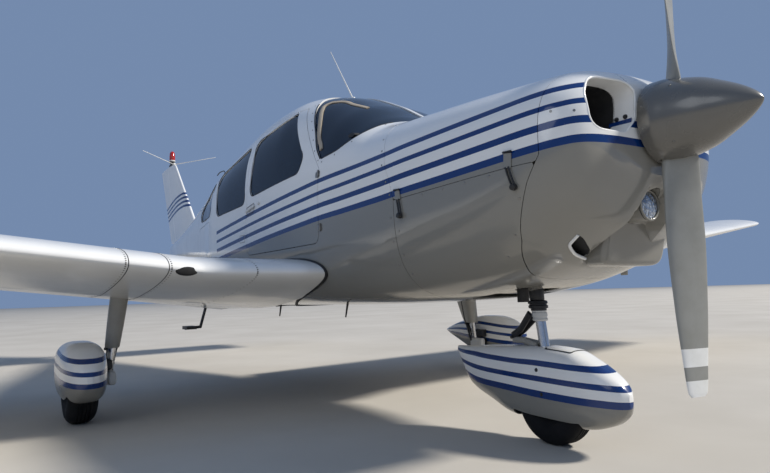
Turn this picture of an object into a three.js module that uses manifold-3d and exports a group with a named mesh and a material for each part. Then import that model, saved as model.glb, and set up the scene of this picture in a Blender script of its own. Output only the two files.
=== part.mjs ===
// A four-seat low-wing light aircraft with a fixed nosewheel gear, full size, in millimetres.
// x points forward, y to the left wing, z up. The origin is on the ground, under the middle of
// the aircraft's length. "Station" means the distance aft of the spinner's tip.
import * as THREE from "three";
import { mergeVertices } from "three/addons/utils/BufferGeometryUtils.js";
import Module from "manifold-3d";

const wasm = await Module();
wasm.setup();

// Driving dimensions
const LENGTH = 7160;
const FRONT = LENGTH / 2;
const DIHEDRAL = Math.tan(THREE.MathUtils.degToRad(7));
const THRUST_Z = 1212; // height of the propeller's axis
const SKIN = 28; // thickness of the whole cabin wall or door
const COWL_SKIN = 22;
const SEAM = 0.6; // gap where two fixed panels meet
const MOVE_GAP = 8; // gap round a panel or surface that moves
const FIT = 0.3; // gap of a seated piece
const BEARING_FIT = 0.6; // gap of a many-sided shaft in a bore with as many sides

const FIREWALL = 1250;
const CABIN_END = 4300;
const TAIL_END = 6450;

// Fuselage sections: station, half width, bottom, height of the widest place, top,
// roundness of the upper half, roundness of the lower half (2 is an ellipse, more is boxier)
const SECTIONS = [
  [360, 245, 1030, 1213, 1330, 2.3, 2.1],
  [372, 330, 985, 1200, 1354, 2.4, 2.2],
  [395, 388, 925, 1180, 1380, 2.5, 2.3],
  [430, 430, 862, 1160, 1406, 2.6, 2.4],
  [490, 470, 818, 1140, 1427, 2.7, 2.6],
  [560, 494, 768, 1130, 1434, 2.7, 2.8],
  [640, 508, 714, 1120, 1438, 2.7, 3.0],
  [900, 530, 640, 1110, 1455, 2.7, 3.2],
  [FIREWALL, 550, 600, 1105, 1477, 2.6, 3.6],
  [1560, 556, 588, 1110, 1507, 2.5, 4.0],
  [1700, 558, 585, 1115, 1576, 2.5, 4.0],
  [1930, 560, 582, 1120, 1702, 2.5, 4.0],
  [2290, 560, 580, 1130, 1845, 2.7, 4.0],
  [2520, 560, 580, 1135, 1878, 2.9, 4.0],
  [2820, 560, 580, 1140, 1866, 3.0, 4.0],
  [3240, 560, 580, 1140, 1784, 3.0, 4.0],
  [3560, 556, 588, 1140, 1722, 2.9, 3.8],
  [3920, 503, 622, 1145, 1666, 2.7, 3.4],
  [CABIN_END, 445, 676, 1150, 1598, 2.5, 3.0],
  [5000, 340, 802, 1160, 1458, 2.4, 2.7],
  [5800, 212, 942, 1175, 1350, 2.2, 2.5],
  [TAIL_END, 98, 1048, 1180, 1296, 2.2, 2.4],
];

// Wing sections: distance from the centre line, leading edge station, its height less the
// dihedral, chord, drop of the trailing edge, thickness
const WING = [
  [430, 1887, 844, 1841, 195, 230],
  [640, 1895, 826, 1833, 175, 230],
  [1080, 2070, 783, 1658, 128, 226],
  [2700, 2120, 774, 1608, 124, 226],
  [5180, 2496, 774, 1115, -19, 128],
];
const WING_DATUM = 1170; // where the heights in the wing table hold
const TIP_Y = 5335;
const TWIST_RIBS = [3527, 4353]; // further ribs where the wing twists

// Steps in x across the chord and the share of the thickness above and below the chord line
const FOIL = [
  [0, 0, 0],
  [0.012, 0.13, -0.09],
  [0.05, 0.27, -0.17],
  [0.14, 0.45, -0.26],
  [0.28, 0.59, -0.33],
  [0.42, 0.63, -0.36],
  [0.58, 0.56, -0.3],
  [0.74, 0.38, -0.18],
  [0.88, 0.18, -0.07],
  [1, 0.008, -0.008],
];

// Materials: colour, roughness, metalness
const paint = (colour, roughness = 0.35, metalness = 0) =>
  new THREE.MeshStandardMaterial({ color: colour, roughness, metalness });
const WHITE = paint(0xe8e8e6);
const LOWER_GREY = paint(0xc2bfb6);
const GLASS = new THREE.MeshPhysicalMaterial({ color: 0x3a4450, roughness: 0.05, transmission: 0.7 });
const RUBBER = paint(0x17171a, 0.85);
const METAL = paint(0x9a9b9d, 0.4, 0.8);
const BLADE = paint(0x9b9c98, 0.45, 0.2);
const BLACK = paint(0x1d1d20, 0.7);
const TRIM = paint(0x8d8577, 0.9);
const LAMP = paint(0xf2f2ee, 0.1);
const RED_LAMP = paint(0xb02018, 0.2);

// Basic solids

const x = (station) => FRONT - station;

// A closed geometry as a solid whose faces point out.
function solidOf(geometry) {
  const bare = new THREE.BufferGeometry();
  bare.setAttribute("position", geometry.getAttribute("position"));
  if (geometry.index) bare.setIndex(geometry.index);
  const merged = mergeVertices(bare, 1e-3);
  const p = merged.attributes.position.array;
  const t = new Uint32Array(merged.index.array);
  const vertex = (i) => new THREE.Vector3(p[3 * i], p[3 * i + 1], p[3 * i + 2]);
  let volume = 0;
  for (let i = 0; i < t.length; i += 3) {
    volume += vertex(t[i]).dot(vertex(t[i + 1]).cross(vertex(t[i + 2])));
  }
  if (volume < 0) {
    for (let i = 0; i < t.length; i += 3) [t[i], t[i + 1]] = [t[i + 1], t[i]];
  }
  return new wasm.Manifold(new wasm.Mesh({ numProp: 3, vertProperties: p, triVerts: t }));
}

function box(x0, x1, y0, y1, z0, z1) {
  const g = new THREE.BoxGeometry(Math.abs(x1 - x0), Math.abs(y1 - y0), Math.abs(z1 - z0));
  return solidOf(g.translate((x0 + x1) / 2, (y0 + y1) / 2, (z0 + z1) / 2));
}

// A round bar from point a to point b, with an end radius of its own if given.
function rod(a, b, radius, sides = 12, endRadius = radius) {
  const from = new THREE.Vector3(...a);
  const along = new THREE.Vector3(...b).sub(from);
  const g = new THREE.CylinderGeometry(endRadius, radius, along.length(), sides);
  g.translate(0, along.length() / 2, 0);
  g.applyQuaternion(new THREE.Quaternion().setFromUnitVectors(
    new THREE.Vector3(0, 1, 0), along.clone().normalize()));
  return solidOf(g.translate(...a));
}

// A skin over closed rings with the same number of points each, with flat ends.
function loft(rings) {
  const n = rings[0].length;
  const points = rings.flat();
  const faces = [];
  for (let r = 0; r + 1 < rings.length; r++) {
    for (let i = 0; i < n; i++) {
      const a = r * n + i;
      const b = r * n + ((i + 1) % n);
      faces.push(a, b, b + n, a, b + n, a + n);
    }
  }
  for (const [first, turn] of [[0, true], [(rings.length - 1) * n, false]]) {
    const centre = points.length;
    const ring = points.slice(first, first + n);
    points.push([0, 1, 2].map((k) => ring.reduce((sum, q) => sum + q[k], 0) / n));
    for (let i = 0; i < n; i++) {
      const pair = [first + i, first + ((i + 1) % n)];
      faces.push(centre, ...(turn ? pair.reverse() : pair));
    }
  }
  const g = new THREE.BufferGeometry();
  g.setAttribute("position", new THREE.Float32BufferAttribute(points.flat(), 3));
  g.setIndex(faces);
  return solidOf(g);
}

// A flat outline with its corners rounded. Each corner is [u, v] or [u, v, its own radius].
function outline(corners, radius = 0, steps = 4) {
  const points = [];
  corners.forEach(([u, v, own = radius], i) => {
    const here = new THREE.Vector2(u, v);
    const before = new THREE.Vector2(...corners.at(i - 1)).sub(here);
    const after = new THREE.Vector2(...corners[(i + 1) % corners.length]).sub(here);
    if (!own) {
      points.push(here);
      return;
    }
    const half = before.angleTo(after) / 2;
    const reach = Math.min(own / Math.tan(half), before.length() / 2, after.length() / 2);
    const start = here.clone().addScaledVector(before.normalize(), reach);
    const end = here.clone().addScaledVector(after.normalize(), reach);
    points.push(...new THREE.QuadraticBezierCurve(start, here, end).getPoints(steps));
  });
  return points;
}

// The outline's (u, v) as a bar along one axis: along y, u is x and v is z; along x, u is y and
// v is z; along z, u is x and v is y.
const PLANES = {
  y: [[1, 0, 0], [0, 0, 1], [0, 1, 0]],
  x: [[0, 1, 0], [0, 0, 1], [1, 0, 0]],
  z: [[1, 0, 0], [0, 1, 0], [0, 0, 1]],
};
function bar(axis, points, low, high) {
  const g = new THREE.ExtrudeGeometry(new THREE.Shape(points), { depth: high - low, bevelEnabled: false });
  const [u, v, w] = PLANES[axis].map((e) => new THREE.Vector3(...e));
  return solidOf(g.translate(0, 0, low).applyMatrix4(new THREE.Matrix4().makeBasis(u, v, w)));
}

// A solid of revolution about a line along y or x: profile points are [radius, along].
function turned(axis, profile, centre, sides) {
  const g = new THREE.LatheGeometry(profile.map(([r, a]) => new THREE.Vector2(r, a)), sides);
  if (axis === "x") g.rotateZ(-Math.PI / 2);
  return solidOf(g.translate(...centre));
}

const joined = (...solids) => solids.reduce((sum, s) => sum.add(s));
const cut = (solid, ...tools) => tools.reduce((left, tool) => left.subtract(tool), solid);

const aircraft = new THREE.Group();
function piece(name, solid, material) {
  const m = solid.getMesh();
  const g = new THREE.BufferGeometry();
  g.setAttribute("position", new THREE.BufferAttribute(new Float32Array(m.vertProperties), 3));
  g.setIndex(new THREE.BufferAttribute(new Uint32Array(m.triVerts), 1));
  g.computeVertexNormals();
  const mesh = new THREE.Mesh(g, material);
  mesh.name = name;
  aircraft.add(mesh);
}

// Fuselage surface

// Smooth interpolation of one table column without overshoot.
function smooth(table, column, at) {
  const s = table.map((row) => row[0]);
  const v = table.map((row) => row[column]);
  const i = Math.max(0, Math.min(s.length - 2, s.findIndex((q) => q > at) - 1));
  const last = at >= s.at(-1) ? s.length - 2 : i;
  const slope = (k) => (v[k + 1] - v[k]) / (s[k + 1] - s[k]);
  const tangent = (k) => {
    if (k === 0 || k === s.length - 1) return slope(Math.max(0, k - 1));
    const [a, b] = [slope(k - 1), slope(k)];
    return a * b <= 0 ? 0 : (2 * a * b) / (a + b);
  };
  const h = s[last + 1] - s[last];
  const t = Math.max(0, Math.min(1, (at - s[last]) / h));
  return v[last] * (1 + 2 * t) * (1 - t) ** 2 + v[last + 1] * t * t * (3 - 2 * t)
    + h * t * (1 - t) * (tangent(last) * (1 - t) - tangent(last + 1) * t);
}

const RING = 24;
const power = (value, exponent) => Math.sign(value) * Math.abs(value) ** exponent;

// One fuselage section: two superellipse halves that meet at the widest place.
function section(station, inset = 0, points = RING) {
  const [w, bottom, middle, top, up, low] = [1, 2, 3, 4, 5, 6].map((k) => smooth(SECTIONS, k, station));
  return Array.from({ length: points }, (_, i) => {
    const a = (2 * Math.PI * i) / points;
    const upper = Math.cos(a) >= 0;
    const e = 2 / (upper ? up : low);
    const reach = upper ? top - middle : middle - bottom;
    return [x(station), (w - inset) * power(Math.sin(a), e), middle + (reach - inset) * power(Math.cos(a), e)];
  });
}
const body = (stations, inset = 0) => loft(stations.map((s) => section(s, inset)));

const between = (from, to, inner) => [from, ...inner.filter((s) => s > from && s < to), to];
const STATIONS = [372, 395, 430, 490, 560, 640, 900, 1250, 1560, 1700, 1930, 2290, 2520, 2820, 3240,
  3560, 3920, 4300, 5000, 5800];
const wholeBody = body(between(360, TAIL_END, STATIONS));
const grownBody = body(between(360, TAIL_END, STATIONS), -FIT);

// Cowling: nose bowl, upper and lower cowls round a plain engine block

const BOWL_SEAM = [[498, 1600], [500, 1088], [552, 1001], [605, 892], [644, 813], [713, 729], [752, 690],
  [752, 500]];
const SPLIT = [[500, 1084], [FIREWALL, 1040]];
const INLET = [[-354, 1162], [-170, 1162], [-158, 1350], [-295, 1352], [-352, 1285]];
const INLET_ROUND = 58;
// Lip of the oil cooler's scoop, low on the right of the bowl: station, y, z
const SCOOP_LIP = [[542, -284, 812], [564, -274, 792], [583, -233, 767], [592, -170, 750]];
const AIR_BOX = { front: 520, back: 900, right: -150, left: 245, bottom: 722, top: 860, round: 65 };
const LIGHT = { station: 428, z: 928, radius: 56 };
const COOLING_EXIT = { from: 1020, to: 1190, halfWidth: 190 };
const EXHAUST = { station: 915, y: -150, end: 588, radius: 24 };
const STRUT_HOLE = { station: 955, radius: 62 };

const cowlShell = cut(
  body(between(360, FIREWALL - SEAM, STATIONS)),
  body(between(386, FIREWALL + 20, STATIONS), COWL_SKIN),
);
const seamShift = (shift) => BOWL_SEAM.map(([s, z]) => [x(s + shift), z]);
const aheadOfSeam = (shift) => bar("y", outline([...seamShift(shift), [x(0), 500], [x(0), 1600]]), -700, 700);
const aboveSplit = (shift) => bar("y", outline([
  ...SPLIT.map(([s, z]) => [x(s), z + shift]), [x(1300), 1040 + shift], [x(1300), 1700], [x(300), 1700],
  [x(300), 1096 + shift],
]), -700, 700);

function noseBowl() {
  let bowl = cowlShell.intersect(aheadOfSeam(0));
  for (const side of [1, -1]) {
    const mouth = outline(INLET.map(([y, z]) => [side * y, z]), INLET_ROUND, 5);
    bowl = cut(bowl, bar("x", mouth, x(520), x(300)));
  }
  const shaftHole = rod([x(300), 0, THRUST_Z], [x(420), 0, THRUST_Z], 75, 20);
  const lightHole = rod([x(300), 0, LIGHT.z], [x(480), 0, LIGHT.z], LIGHT.radius + FIT, 20);
  const scoopMouth = [...SCOOP_LIP.map(([, y, z]) => [y, z]), [-178, 780], [-215, 798], [-255, 812]];
  const scoopHole = bar("x", outline(scoopMouth), x(606), x(300));
  const lip = SCOOP_LIP.slice(1).map((point, i) => rod(
    [x(SCOOP_LIP[i][0]), SCOOP_LIP[i][1], SCOOP_LIP[i][2]], [x(point[0]), point[1], point[2]], 6, 6));
  return joined(cut(bowl, shaftHole, lightHole, scoopHole), ...lip);
}
piece("nose_bowl", noseBowl(), LOWER_GREY);

const cowlBehind = cut(cowlShell, aheadOfSeam(SEAM));
piece("cowl_upper", cowlBehind.intersect(aboveSplit(SEAM)), WHITE);
piece("cowl_lower", cut(
  cowlBehind, aboveSplit(0),
  box(x(COOLING_EXIT.to), x(COOLING_EXIT.from), -COOLING_EXIT.halfWidth, COOLING_EXIT.halfWidth, 500, 700),
  box(x(STRUT_HOLE.station + 78), x(STRUT_HOLE.station - 62), -STRUT_HOLE.radius, STRUT_HOLE.radius, 500, 760),
  rod([x(EXHAUST.station), EXHAUST.y, 500], [x(EXHAUST.station), EXHAUST.y, 760], EXHAUST.radius + 8, 14),
), LOWER_GREY);

const airBox = bar("z", outline([
  [x(AIR_BOX.front), AIR_BOX.right, AIR_BOX.round], [x(AIR_BOX.front), AIR_BOX.left, AIR_BOX.round],
  [x(AIR_BOX.back), AIR_BOX.left], [x(AIR_BOX.back), AIR_BOX.right],
]), AIR_BOX.bottom, AIR_BOX.top);
piece("air_box", cut(airBox, body(between(360, FIREWALL, STATIONS), -FIT)), LOWER_GREY);

const ENGINE = { front: 560, back: 1080, halfWidth: 330, bottom: 905, top: 1345 };
const engineBlock = box(x(ENGINE.back), x(ENGINE.front), -ENGINE.halfWidth, ENGINE.halfWidth, ENGINE.bottom,
  ENGINE.top);
const crankNose = rod([x(ENGINE.front + 10), 0, THRUST_Z], [x(356), 0, THRUST_Z], 55, 16);
const mountTubes = [[250, 960], [250, 1300], [-250, 960], [-250, 1300]].map(([y, z]) =>
  rod([x(ENGINE.back - 10), y, z], [x(FIREWALL + 10), y * 1.15, z], 16, 8)
    .intersect(box(x(FIREWALL - FIT), x(900), -500, 500, 900, 1400)));

// The nose leg leans, and turns in a bearing under the engine.
const LEAN = (986 - 952) / (646 - 407);
const steerAt = (z) => [x(952 + (z - 407) * LEAN), 0, z];
const LEG = { radius: 31, neck: 22, shoulder: 800, top: 850, bore: 24, foot: 498 };
const noseBearing = rod(steerAt(LEG.shoulder + 2), steerAt(920), 40, 16);
const neckHole = rod(steerAt(LEG.shoulder - 20), steerAt(LEG.top + 2), LEG.neck + BEARING_FIT, 16);
const SHAFT = { radius: 32, end: 420 };
piece("engine", cut(
  joined(engineBlock, crankNose, noseBearing, ...mountTubes), neckHole,
  rod([x(SHAFT.end + 5), 0, THRUST_Z], [x(300), 0, THRUST_Z], SHAFT.radius + BEARING_FIT, 20),
), METAL);


piece("landing_light", joined(
  turned("x", [[0, -26], [30, -26], [LIGHT.radius, 0], [LIGHT.radius, 12], [42, 19], [0, 22]],
    [x(LIGHT.station), 0, LIGHT.z], 20),
  box(x(ENGINE.front - 8), x(LIGHT.station + 20), -12, 12, LIGHT.z - 10, LIGHT.z + 10),
).subtract(box(x(ENGINE.front) - 5, x(ENGINE.front) + FIT, -50, 50, 850, 1000)), LAMP);

// Cabin: hollow shell with its doors and windows cut out

// Windows as side outlines, [station, height], from front top clockwise seen from the right.
const WINDOWS = {
  front: [[2385, 1722, 30], [2836, 1640], [2832, 1272], [2150, 1308], [2104, 1390]],
  rear: [[2925, 1632], [3565, 1552], [3464, 1222], [2918, 1240]],
  aft: [[3636, 1512], [3830, 1484], [4138, 1330], [4062, 1250], [3630, 1246]],
};
const WINDOW_ROUND = 62;
const CORNER_STEPS = 3;
const WINDSCREEN = [[1500, 1560], [1590, 1535], [1606, 1500], [1642, 1450], [1699, 1402], [1784, 1361],
  [1914, 1340], [1978, 1408], [2052, 1513], [2141, 1617], [2216, 1704], [2262, 1760], [2400, 1880],
  [2400, 2100], [1500, 2100]];
const WINDSCREEN_POST = 16;
const DOOR = [[2318, 1745, 40], [2872, 1690], [2902, 905], [1910, 905], [1910, 1292, 20]];
const DOOR_ROUND = 60;
const BAGGAGE_DOOR = [[3650, 1215], [4170, 1205], [4190, 870], [3650, 850]];
const PANE = { outside: 6, inside: 14 };

const sideOutline = (corners, round, steps = CORNER_STEPS) =>
  outline(corners.map(([s, z]) => [x(s), z]), round, steps);
// The outline moved inwards (or outwards, if negative) by a distance, about its own edges.
function shrunk(corners, distance) {
  const n = corners.length;
  const area = corners.reduce((sum, [u, v], i) => {
    const [p, q] = corners[(i + 1) % n];
    return sum + u * q - p * v;
  }, 0);
  const turn = Math.sign(area);
  const edge = (i) => {
    const [u, v] = corners[i];
    const [p, q] = corners[(i + 1) % n];
    const l = Math.hypot(p - u, q - v);
    const normal = [(-(q - v) / l) * turn, ((p - u) / l) * turn];
    return { u: u + normal[0] * distance, v: v + normal[1] * distance, du: p - u, dv: q - v };
  };
  return corners.map((_, i) => {
    const [a, b] = [edge((i + n - 1) % n), edge(i)];
    const k = ((b.u - a.u) * b.dv - (b.v - a.v) * b.du) / (a.du * b.dv - a.dv * b.du);
    return [a.u + k * a.du, a.v + k * a.dv];
  });
}

const LEFT = [20, 700];
const RIGHT = [-700, -20];
const sideBar = (corners, round, [low, high]) => bar("y", sideOutline(corners, round), low, high);

const cabinOuter = body(between(FIREWALL, CABIN_END, STATIONS));
const cabinInner = body(between(FIREWALL + 20, CABIN_END - 60, STATIONS), SKIN);
const paneLayer = cut(
  body(between(FIREWALL + 50, CABIN_END - 70, STATIONS), PANE.outside),
  body(between(FIREWALL + 20, CABIN_END - 60, STATIONS), PANE.inside),
);
const cabinWall = cut(cabinOuter, cabinInner);
const windscreenHole = cut(
  bar("y", sideOutline(WINDSCREEN, 0), -700, 700),
  box(x(2600), x(1400), -WINDSCREEN_POST, WINDSCREEN_POST, 1300, 2200),
);

const cabin = cut(
  cabinWall,
  windscreenHole,
  ...Object.values(WINDOWS).map((w) => sideBar(w, WINDOW_ROUND, LEFT)),
  ...[WINDOWS.rear, WINDOWS.aft].map((w) => sideBar(w, WINDOW_ROUND, RIGHT)),
  sideBar(DOOR, DOOR_ROUND, RIGHT),
  sideBar(BAGGAGE_DOOR, DOOR_ROUND, RIGHT),
);

// Door hinges stand on the skin ahead of the door: an eye on the cabin, a pin on the door.
const DOOR_HINGE = { station: 1893, low: 985, high: 1262, pin: 6, reach: 15 };
const hingeY = (z) => {
  const ring = section(DOOR_HINGE.station, 0, 256).filter(([, y]) => y < 0);
  const near = ring.reduce((best, q) => (Math.abs(q[2] - z) < Math.abs(best[2] - z) ? q : best));
  return near[1] - DOOR_HINGE.reach;
};
const doorAxis = {
  low: [x(DOOR_HINGE.station), hingeY(DOOR_HINGE.low) - 3, DOOR_HINGE.low],
  high: [x(DOOR_HINGE.station), hingeY(DOOR_HINGE.low) + 7, DOOR_HINGE.high],
};
const alongAxis = ({ low, high }, z) => {
  const t = (z - low[2]) / (high[2] - low[2]);
  return [0, 1, 2].map((k) => low[k] + t * (high[k] - low[k]));
};
const eyeOf = (z, half) => rod(alongAxis(doorAxis, z - half), alongAxis(doorAxis, z + half), 13, 12);
const pinOf = (z, half, radius) =>
  rod(alongAxis(doorAxis, z - half), alongAxis(doorAxis, z + half), radius, 12);

function doorHingeEyes() {
  return [DOOR_HINGE.low, DOOR_HINGE.high].map((z) => {
    const [px, py] = alongAxis(doorAxis, z);
    const foot = box(px + 4, px + 50, py, -500, z - 9, z + 9);
    return cut(joined(eyeOf(z, 9), foot), pinOf(z, 30, DOOR_HINGE.pin + FIT), cabinInner);
  });
}
function doorHingePins() {
  return [DOOR_HINGE.low, DOOR_HINGE.high].map((z) => {
    const ears = [-1, 1].map((side) => {
      const middle = z + side * 16;
      const [px, py] = alongAxis(doorAxis, middle);
      const strap = box(px - 56, px - 2, py - 5, py + 7, middle - 5, middle + 5);
      const foot = box(px - 56, px - 32, py, py + 34, middle - 5, middle + 5);
      return joined(eyeOf(middle, 5), strap, foot);
    });
    return joined(...ears, pinOf(z, 21, DOOR_HINGE.pin));
  });
}

const HANDLE = { station: 2790, z: 1225 };
function cabinDoor() {
  const leafLine = sideOutline(shrunk(DOOR, MOVE_GAP), DOOR_ROUND - MOVE_GAP);
  const leaf = cabinWall.intersect(bar("y", leafLine, ...RIGHT));
  const glazed = cut(leaf, sideBar(WINDOWS.front, WINDOW_ROUND, RIGHT));
  const lever = box(x(HANDLE.station + 65), x(HANDLE.station - 65), -590, -545, HANDLE.z - 14, HANDLE.z + 14);
  return joined(glazed, ...doorHingePins(), lever);
}

// The baggage door hangs on a lug inside its front edge, on a pin in the jamb's eye.
const BAGGAGE_HINGE = { station: 3646, low: 925, high: 1140 };
const baggageY = (z) => {
  const ring = section(BAGGAGE_HINGE.station, 0, 256).filter(([, y]) => y < 0);
  return ring.reduce((best, q) => (Math.abs(q[2] - z) < Math.abs(best[2] - z) ? q : best))[1];
};
const baggageAxisY = Math.min(baggageY(BAGGAGE_HINGE.low), baggageY(BAGGAGE_HINGE.high)) - 9;
function baggageHinge(kind) {
  return [BAGGAGE_HINGE.low, BAGGAGE_HINGE.high].map((z) => {
    const px = x(BAGGAGE_HINGE.station);
    const ring = (z0, z1, r) => rod([px, baggageAxisY, z0], [px, baggageAxisY, z1], r, 12);
    if (kind === "eye") {
      const foot = box(px + 2, px + 34, baggageAxisY, baggageAxisY + 50, z - 8, z + 8);
      return cut(joined(ring(z - 8, z + 8, 10), foot), ring(z - 30, z + 30, 5 + FIT), cabinInner);
    }
    const ears = [-1, 1].map((side) => joined(
      ring(z + side * 14 - 4, z + side * 14 + 4, 10),
      box(px - 44, px - 1, baggageAxisY - 7, baggageAxisY + 3, z + side * 14 - 4, z + side * 14 + 4),
      box(px - 44, px - 24, baggageAxisY, baggageAxisY + 34, z + side * 14 - 4, z + side * 14 + 4),
    ));
    return joined(...ears, ring(z - 18, z + 18, 5));
  });
}
const cabinShell = joined(cabin, ...doorHingeEyes(), ...baggageHinge("eye"));

const pane = (corners, side) => paneLayer.intersect(
  bar("y", sideOutline(shrunk(corners, FIT), WINDOW_ROUND), ...side));
piece("cabin_shell", cabinShell, WHITE);
piece("cabin_door", cabinDoor(), WHITE);
piece("door_window", pane(WINDOWS.front, RIGHT), GLASS);
piece("window_right_rear", pane(WINDOWS.rear, RIGHT), GLASS);
piece("window_right_aft", pane(WINDOWS.aft, RIGHT), GLASS);
piece("window_left_front", pane(WINDOWS.front, LEFT), GLASS);
piece("window_left_rear", pane(WINDOWS.rear, LEFT), GLASS);
piece("window_left_aft", pane(WINDOWS.aft, LEFT), GLASS);
const SCREEN_HALVES = [["left", WINDSCREEN_POST + FIT, 700], ["right", -700, -WINDSCREEN_POST - FIT]];
for (const [name, low, high] of SCREEN_HALVES) {
  piece("windscreen_" + name, paneLayer.intersect(
    bar("y", sideOutline(shrunk(WINDSCREEN, FIT), 0), low, high)), GLASS);
}

const baggageLeaf = cabinWall.intersect(
  bar("y", sideOutline(shrunk(BAGGAGE_DOOR, MOVE_GAP), DOOR_ROUND - MOVE_GAP), ...RIGHT));


// Tail cone, with the stabilator's torque tube running through it
const STAB = { pivot: 6330, z: 1095, root: 178, tip: 1960, lead: 215, trail: 560, tube: 24 };

const tailOuter = body(between(CABIN_END + SEAM, TAIL_END, STATIONS));
const tubeHole = rod([x(STAB.pivot), -400, STAB.z], [x(STAB.pivot), 400, STAB.z], STAB.tube + FIT, 24);
const tailTieDown = box(x(6420), x(6370), -12, 12, 1005, 1090);

// Wing

function wingAt(y) {
  const i = Math.max(0, Math.min(WING.length - 2, WING.findIndex((row) => row[0] > y) - 1));
  const last = y >= WING.at(-1)[0] ? WING.length - 2 : i;
  const [a, b] = [WING[last], WING[last + 1]];
  const t = (y - a[0]) / (b[0] - a[0]);
  const [lead, height, chord, drop, thickness] = [1, 2, 3, 4, 5].map((k) => a[k] + t * (b[k] - a[k]));
  return { lead, z: height + (y - WING_DATUM) * DIHEDRAL, chord, drop, thickness };
}
function foilRing(y, { lead, z, chord, drop, thickness }) {
  const at = ([u, top, low], side) => [x(lead + u * chord), y, z - u * drop + (side ? top : low) * thickness];
  const upper = FOIL.slice(1).map((row) => at(row, true));
  const lower = FOIL.slice(1).reverse().map((row) => at(row, false));
  return [at(FOIL[0], true), ...upper, ...lower];
}
// Height of the chord's middle line and half the thickness at a station.
function depthAt(y, station) {
  const w = wingAt(y);
  const u = (station - w.lead) / w.chord;
  const i = FOIL.findIndex((row) => row[0] > u);
  const t = (u - FOIL[i - 1][0]) / (FOIL[i][0] - FOIL[i - 1][0]);
  const [top, low] = [1, 2].map((k) => (FOIL[i - 1][k] + t * (FOIL[i][k] - FOIL[i - 1][k])) * w.thickness);
  const chordLine = w.z - u * w.drop;
  const middle = chordLine + (top + low) / 2;
  return { middle, half: (top - low) / 2, top: chordLine + top, low: chordLine + low };
}

// Control surfaces: hinge line as two [y, station] pairs, the two places where the line lies in the
// middle of the wing's depth, where the wing's plan has a corner, and where the hinges are.
const SURFACES = [
  { name: "flap", line: [[625, 3430], [2700, 3430]], anchors: [1080, 2700], corners: [640, 1080],
    hinges: [760, 1650, 2540] },
  { name: "aileron", line: [[2700, 3430], [5110, 3340]], anchors: [2700, 5110], corners: [],
    hinges: [2860, 3900, 4950] },
];
const lineStation = ([a, b], y) => a[1] + ((y - a[0]) / (b[0] - a[0])) * (b[1] - a[1]);
function hingePoint({ line, anchors: [y0, y1] }, y) {
  const [z0, z1] = [y0, y1].map((v) => depthAt(v, lineStation(line, v)).middle);
  return [x(lineStation(line, y)), y, z0 + ((y - y0) / (y1 - y0)) * (z1 - z0)];
}
// The space a control surface takes up. Its nose is round about the hinge line, and the panel
// ahead of it is hollowed to suit.
function surfaceRegion(surface, from, to, gap) {
  return loft(between(from, to, surface.corners).map((y) => {
    const [hx, , hz] = hingePoint(surface, y);
    const r = depthAt(y, FRONT - hx).half + gap;
    const arc = Array.from({ length: 9 }, (_, k) => {
      const turn = Math.PI / 2 - (Math.PI * k) / 8;
      return [hx + r * Math.cos(turn), y, hz + r * Math.sin(turn)];
    });
    return [[hx, y, hz + 300], ...arc, [hx, y, hz - 300], [hx - 600, y, hz - 300], [hx - 600, y, hz + 300]];
  }));
}
const END_GAP = 14; // gap at the ends of a control surface
const HINGE = { plate: 6, slot: 13, eye: 13, pin: 5, reach: 70 };

const tieDown = (y, station) => {
  const { low } = depthAt(y, station);
  return box(x(station + 28), x(station - 28), y - 8, y + 8, low - 34, low + 30);
};

const STRUT = { station: 2922, top: [1300, 780], bottom: [1350, 400], radius: 38, piston: 20 };
// Streamlined cuff round the leg: height, station of its tail, half thickness
const CUFF = [[386, 3026, 38], [423, 3042, 40], [575, 3088, 46], [765, 3150, 50]];
const strutAt = (z) => {
  const t = (z - STRUT.bottom[1]) / (STRUT.top[1] - STRUT.bottom[1]);
  return [x(STRUT.station), STRUT.bottom[0] + t * (STRUT.top[0] - STRUT.bottom[0]), z];
};

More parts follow.
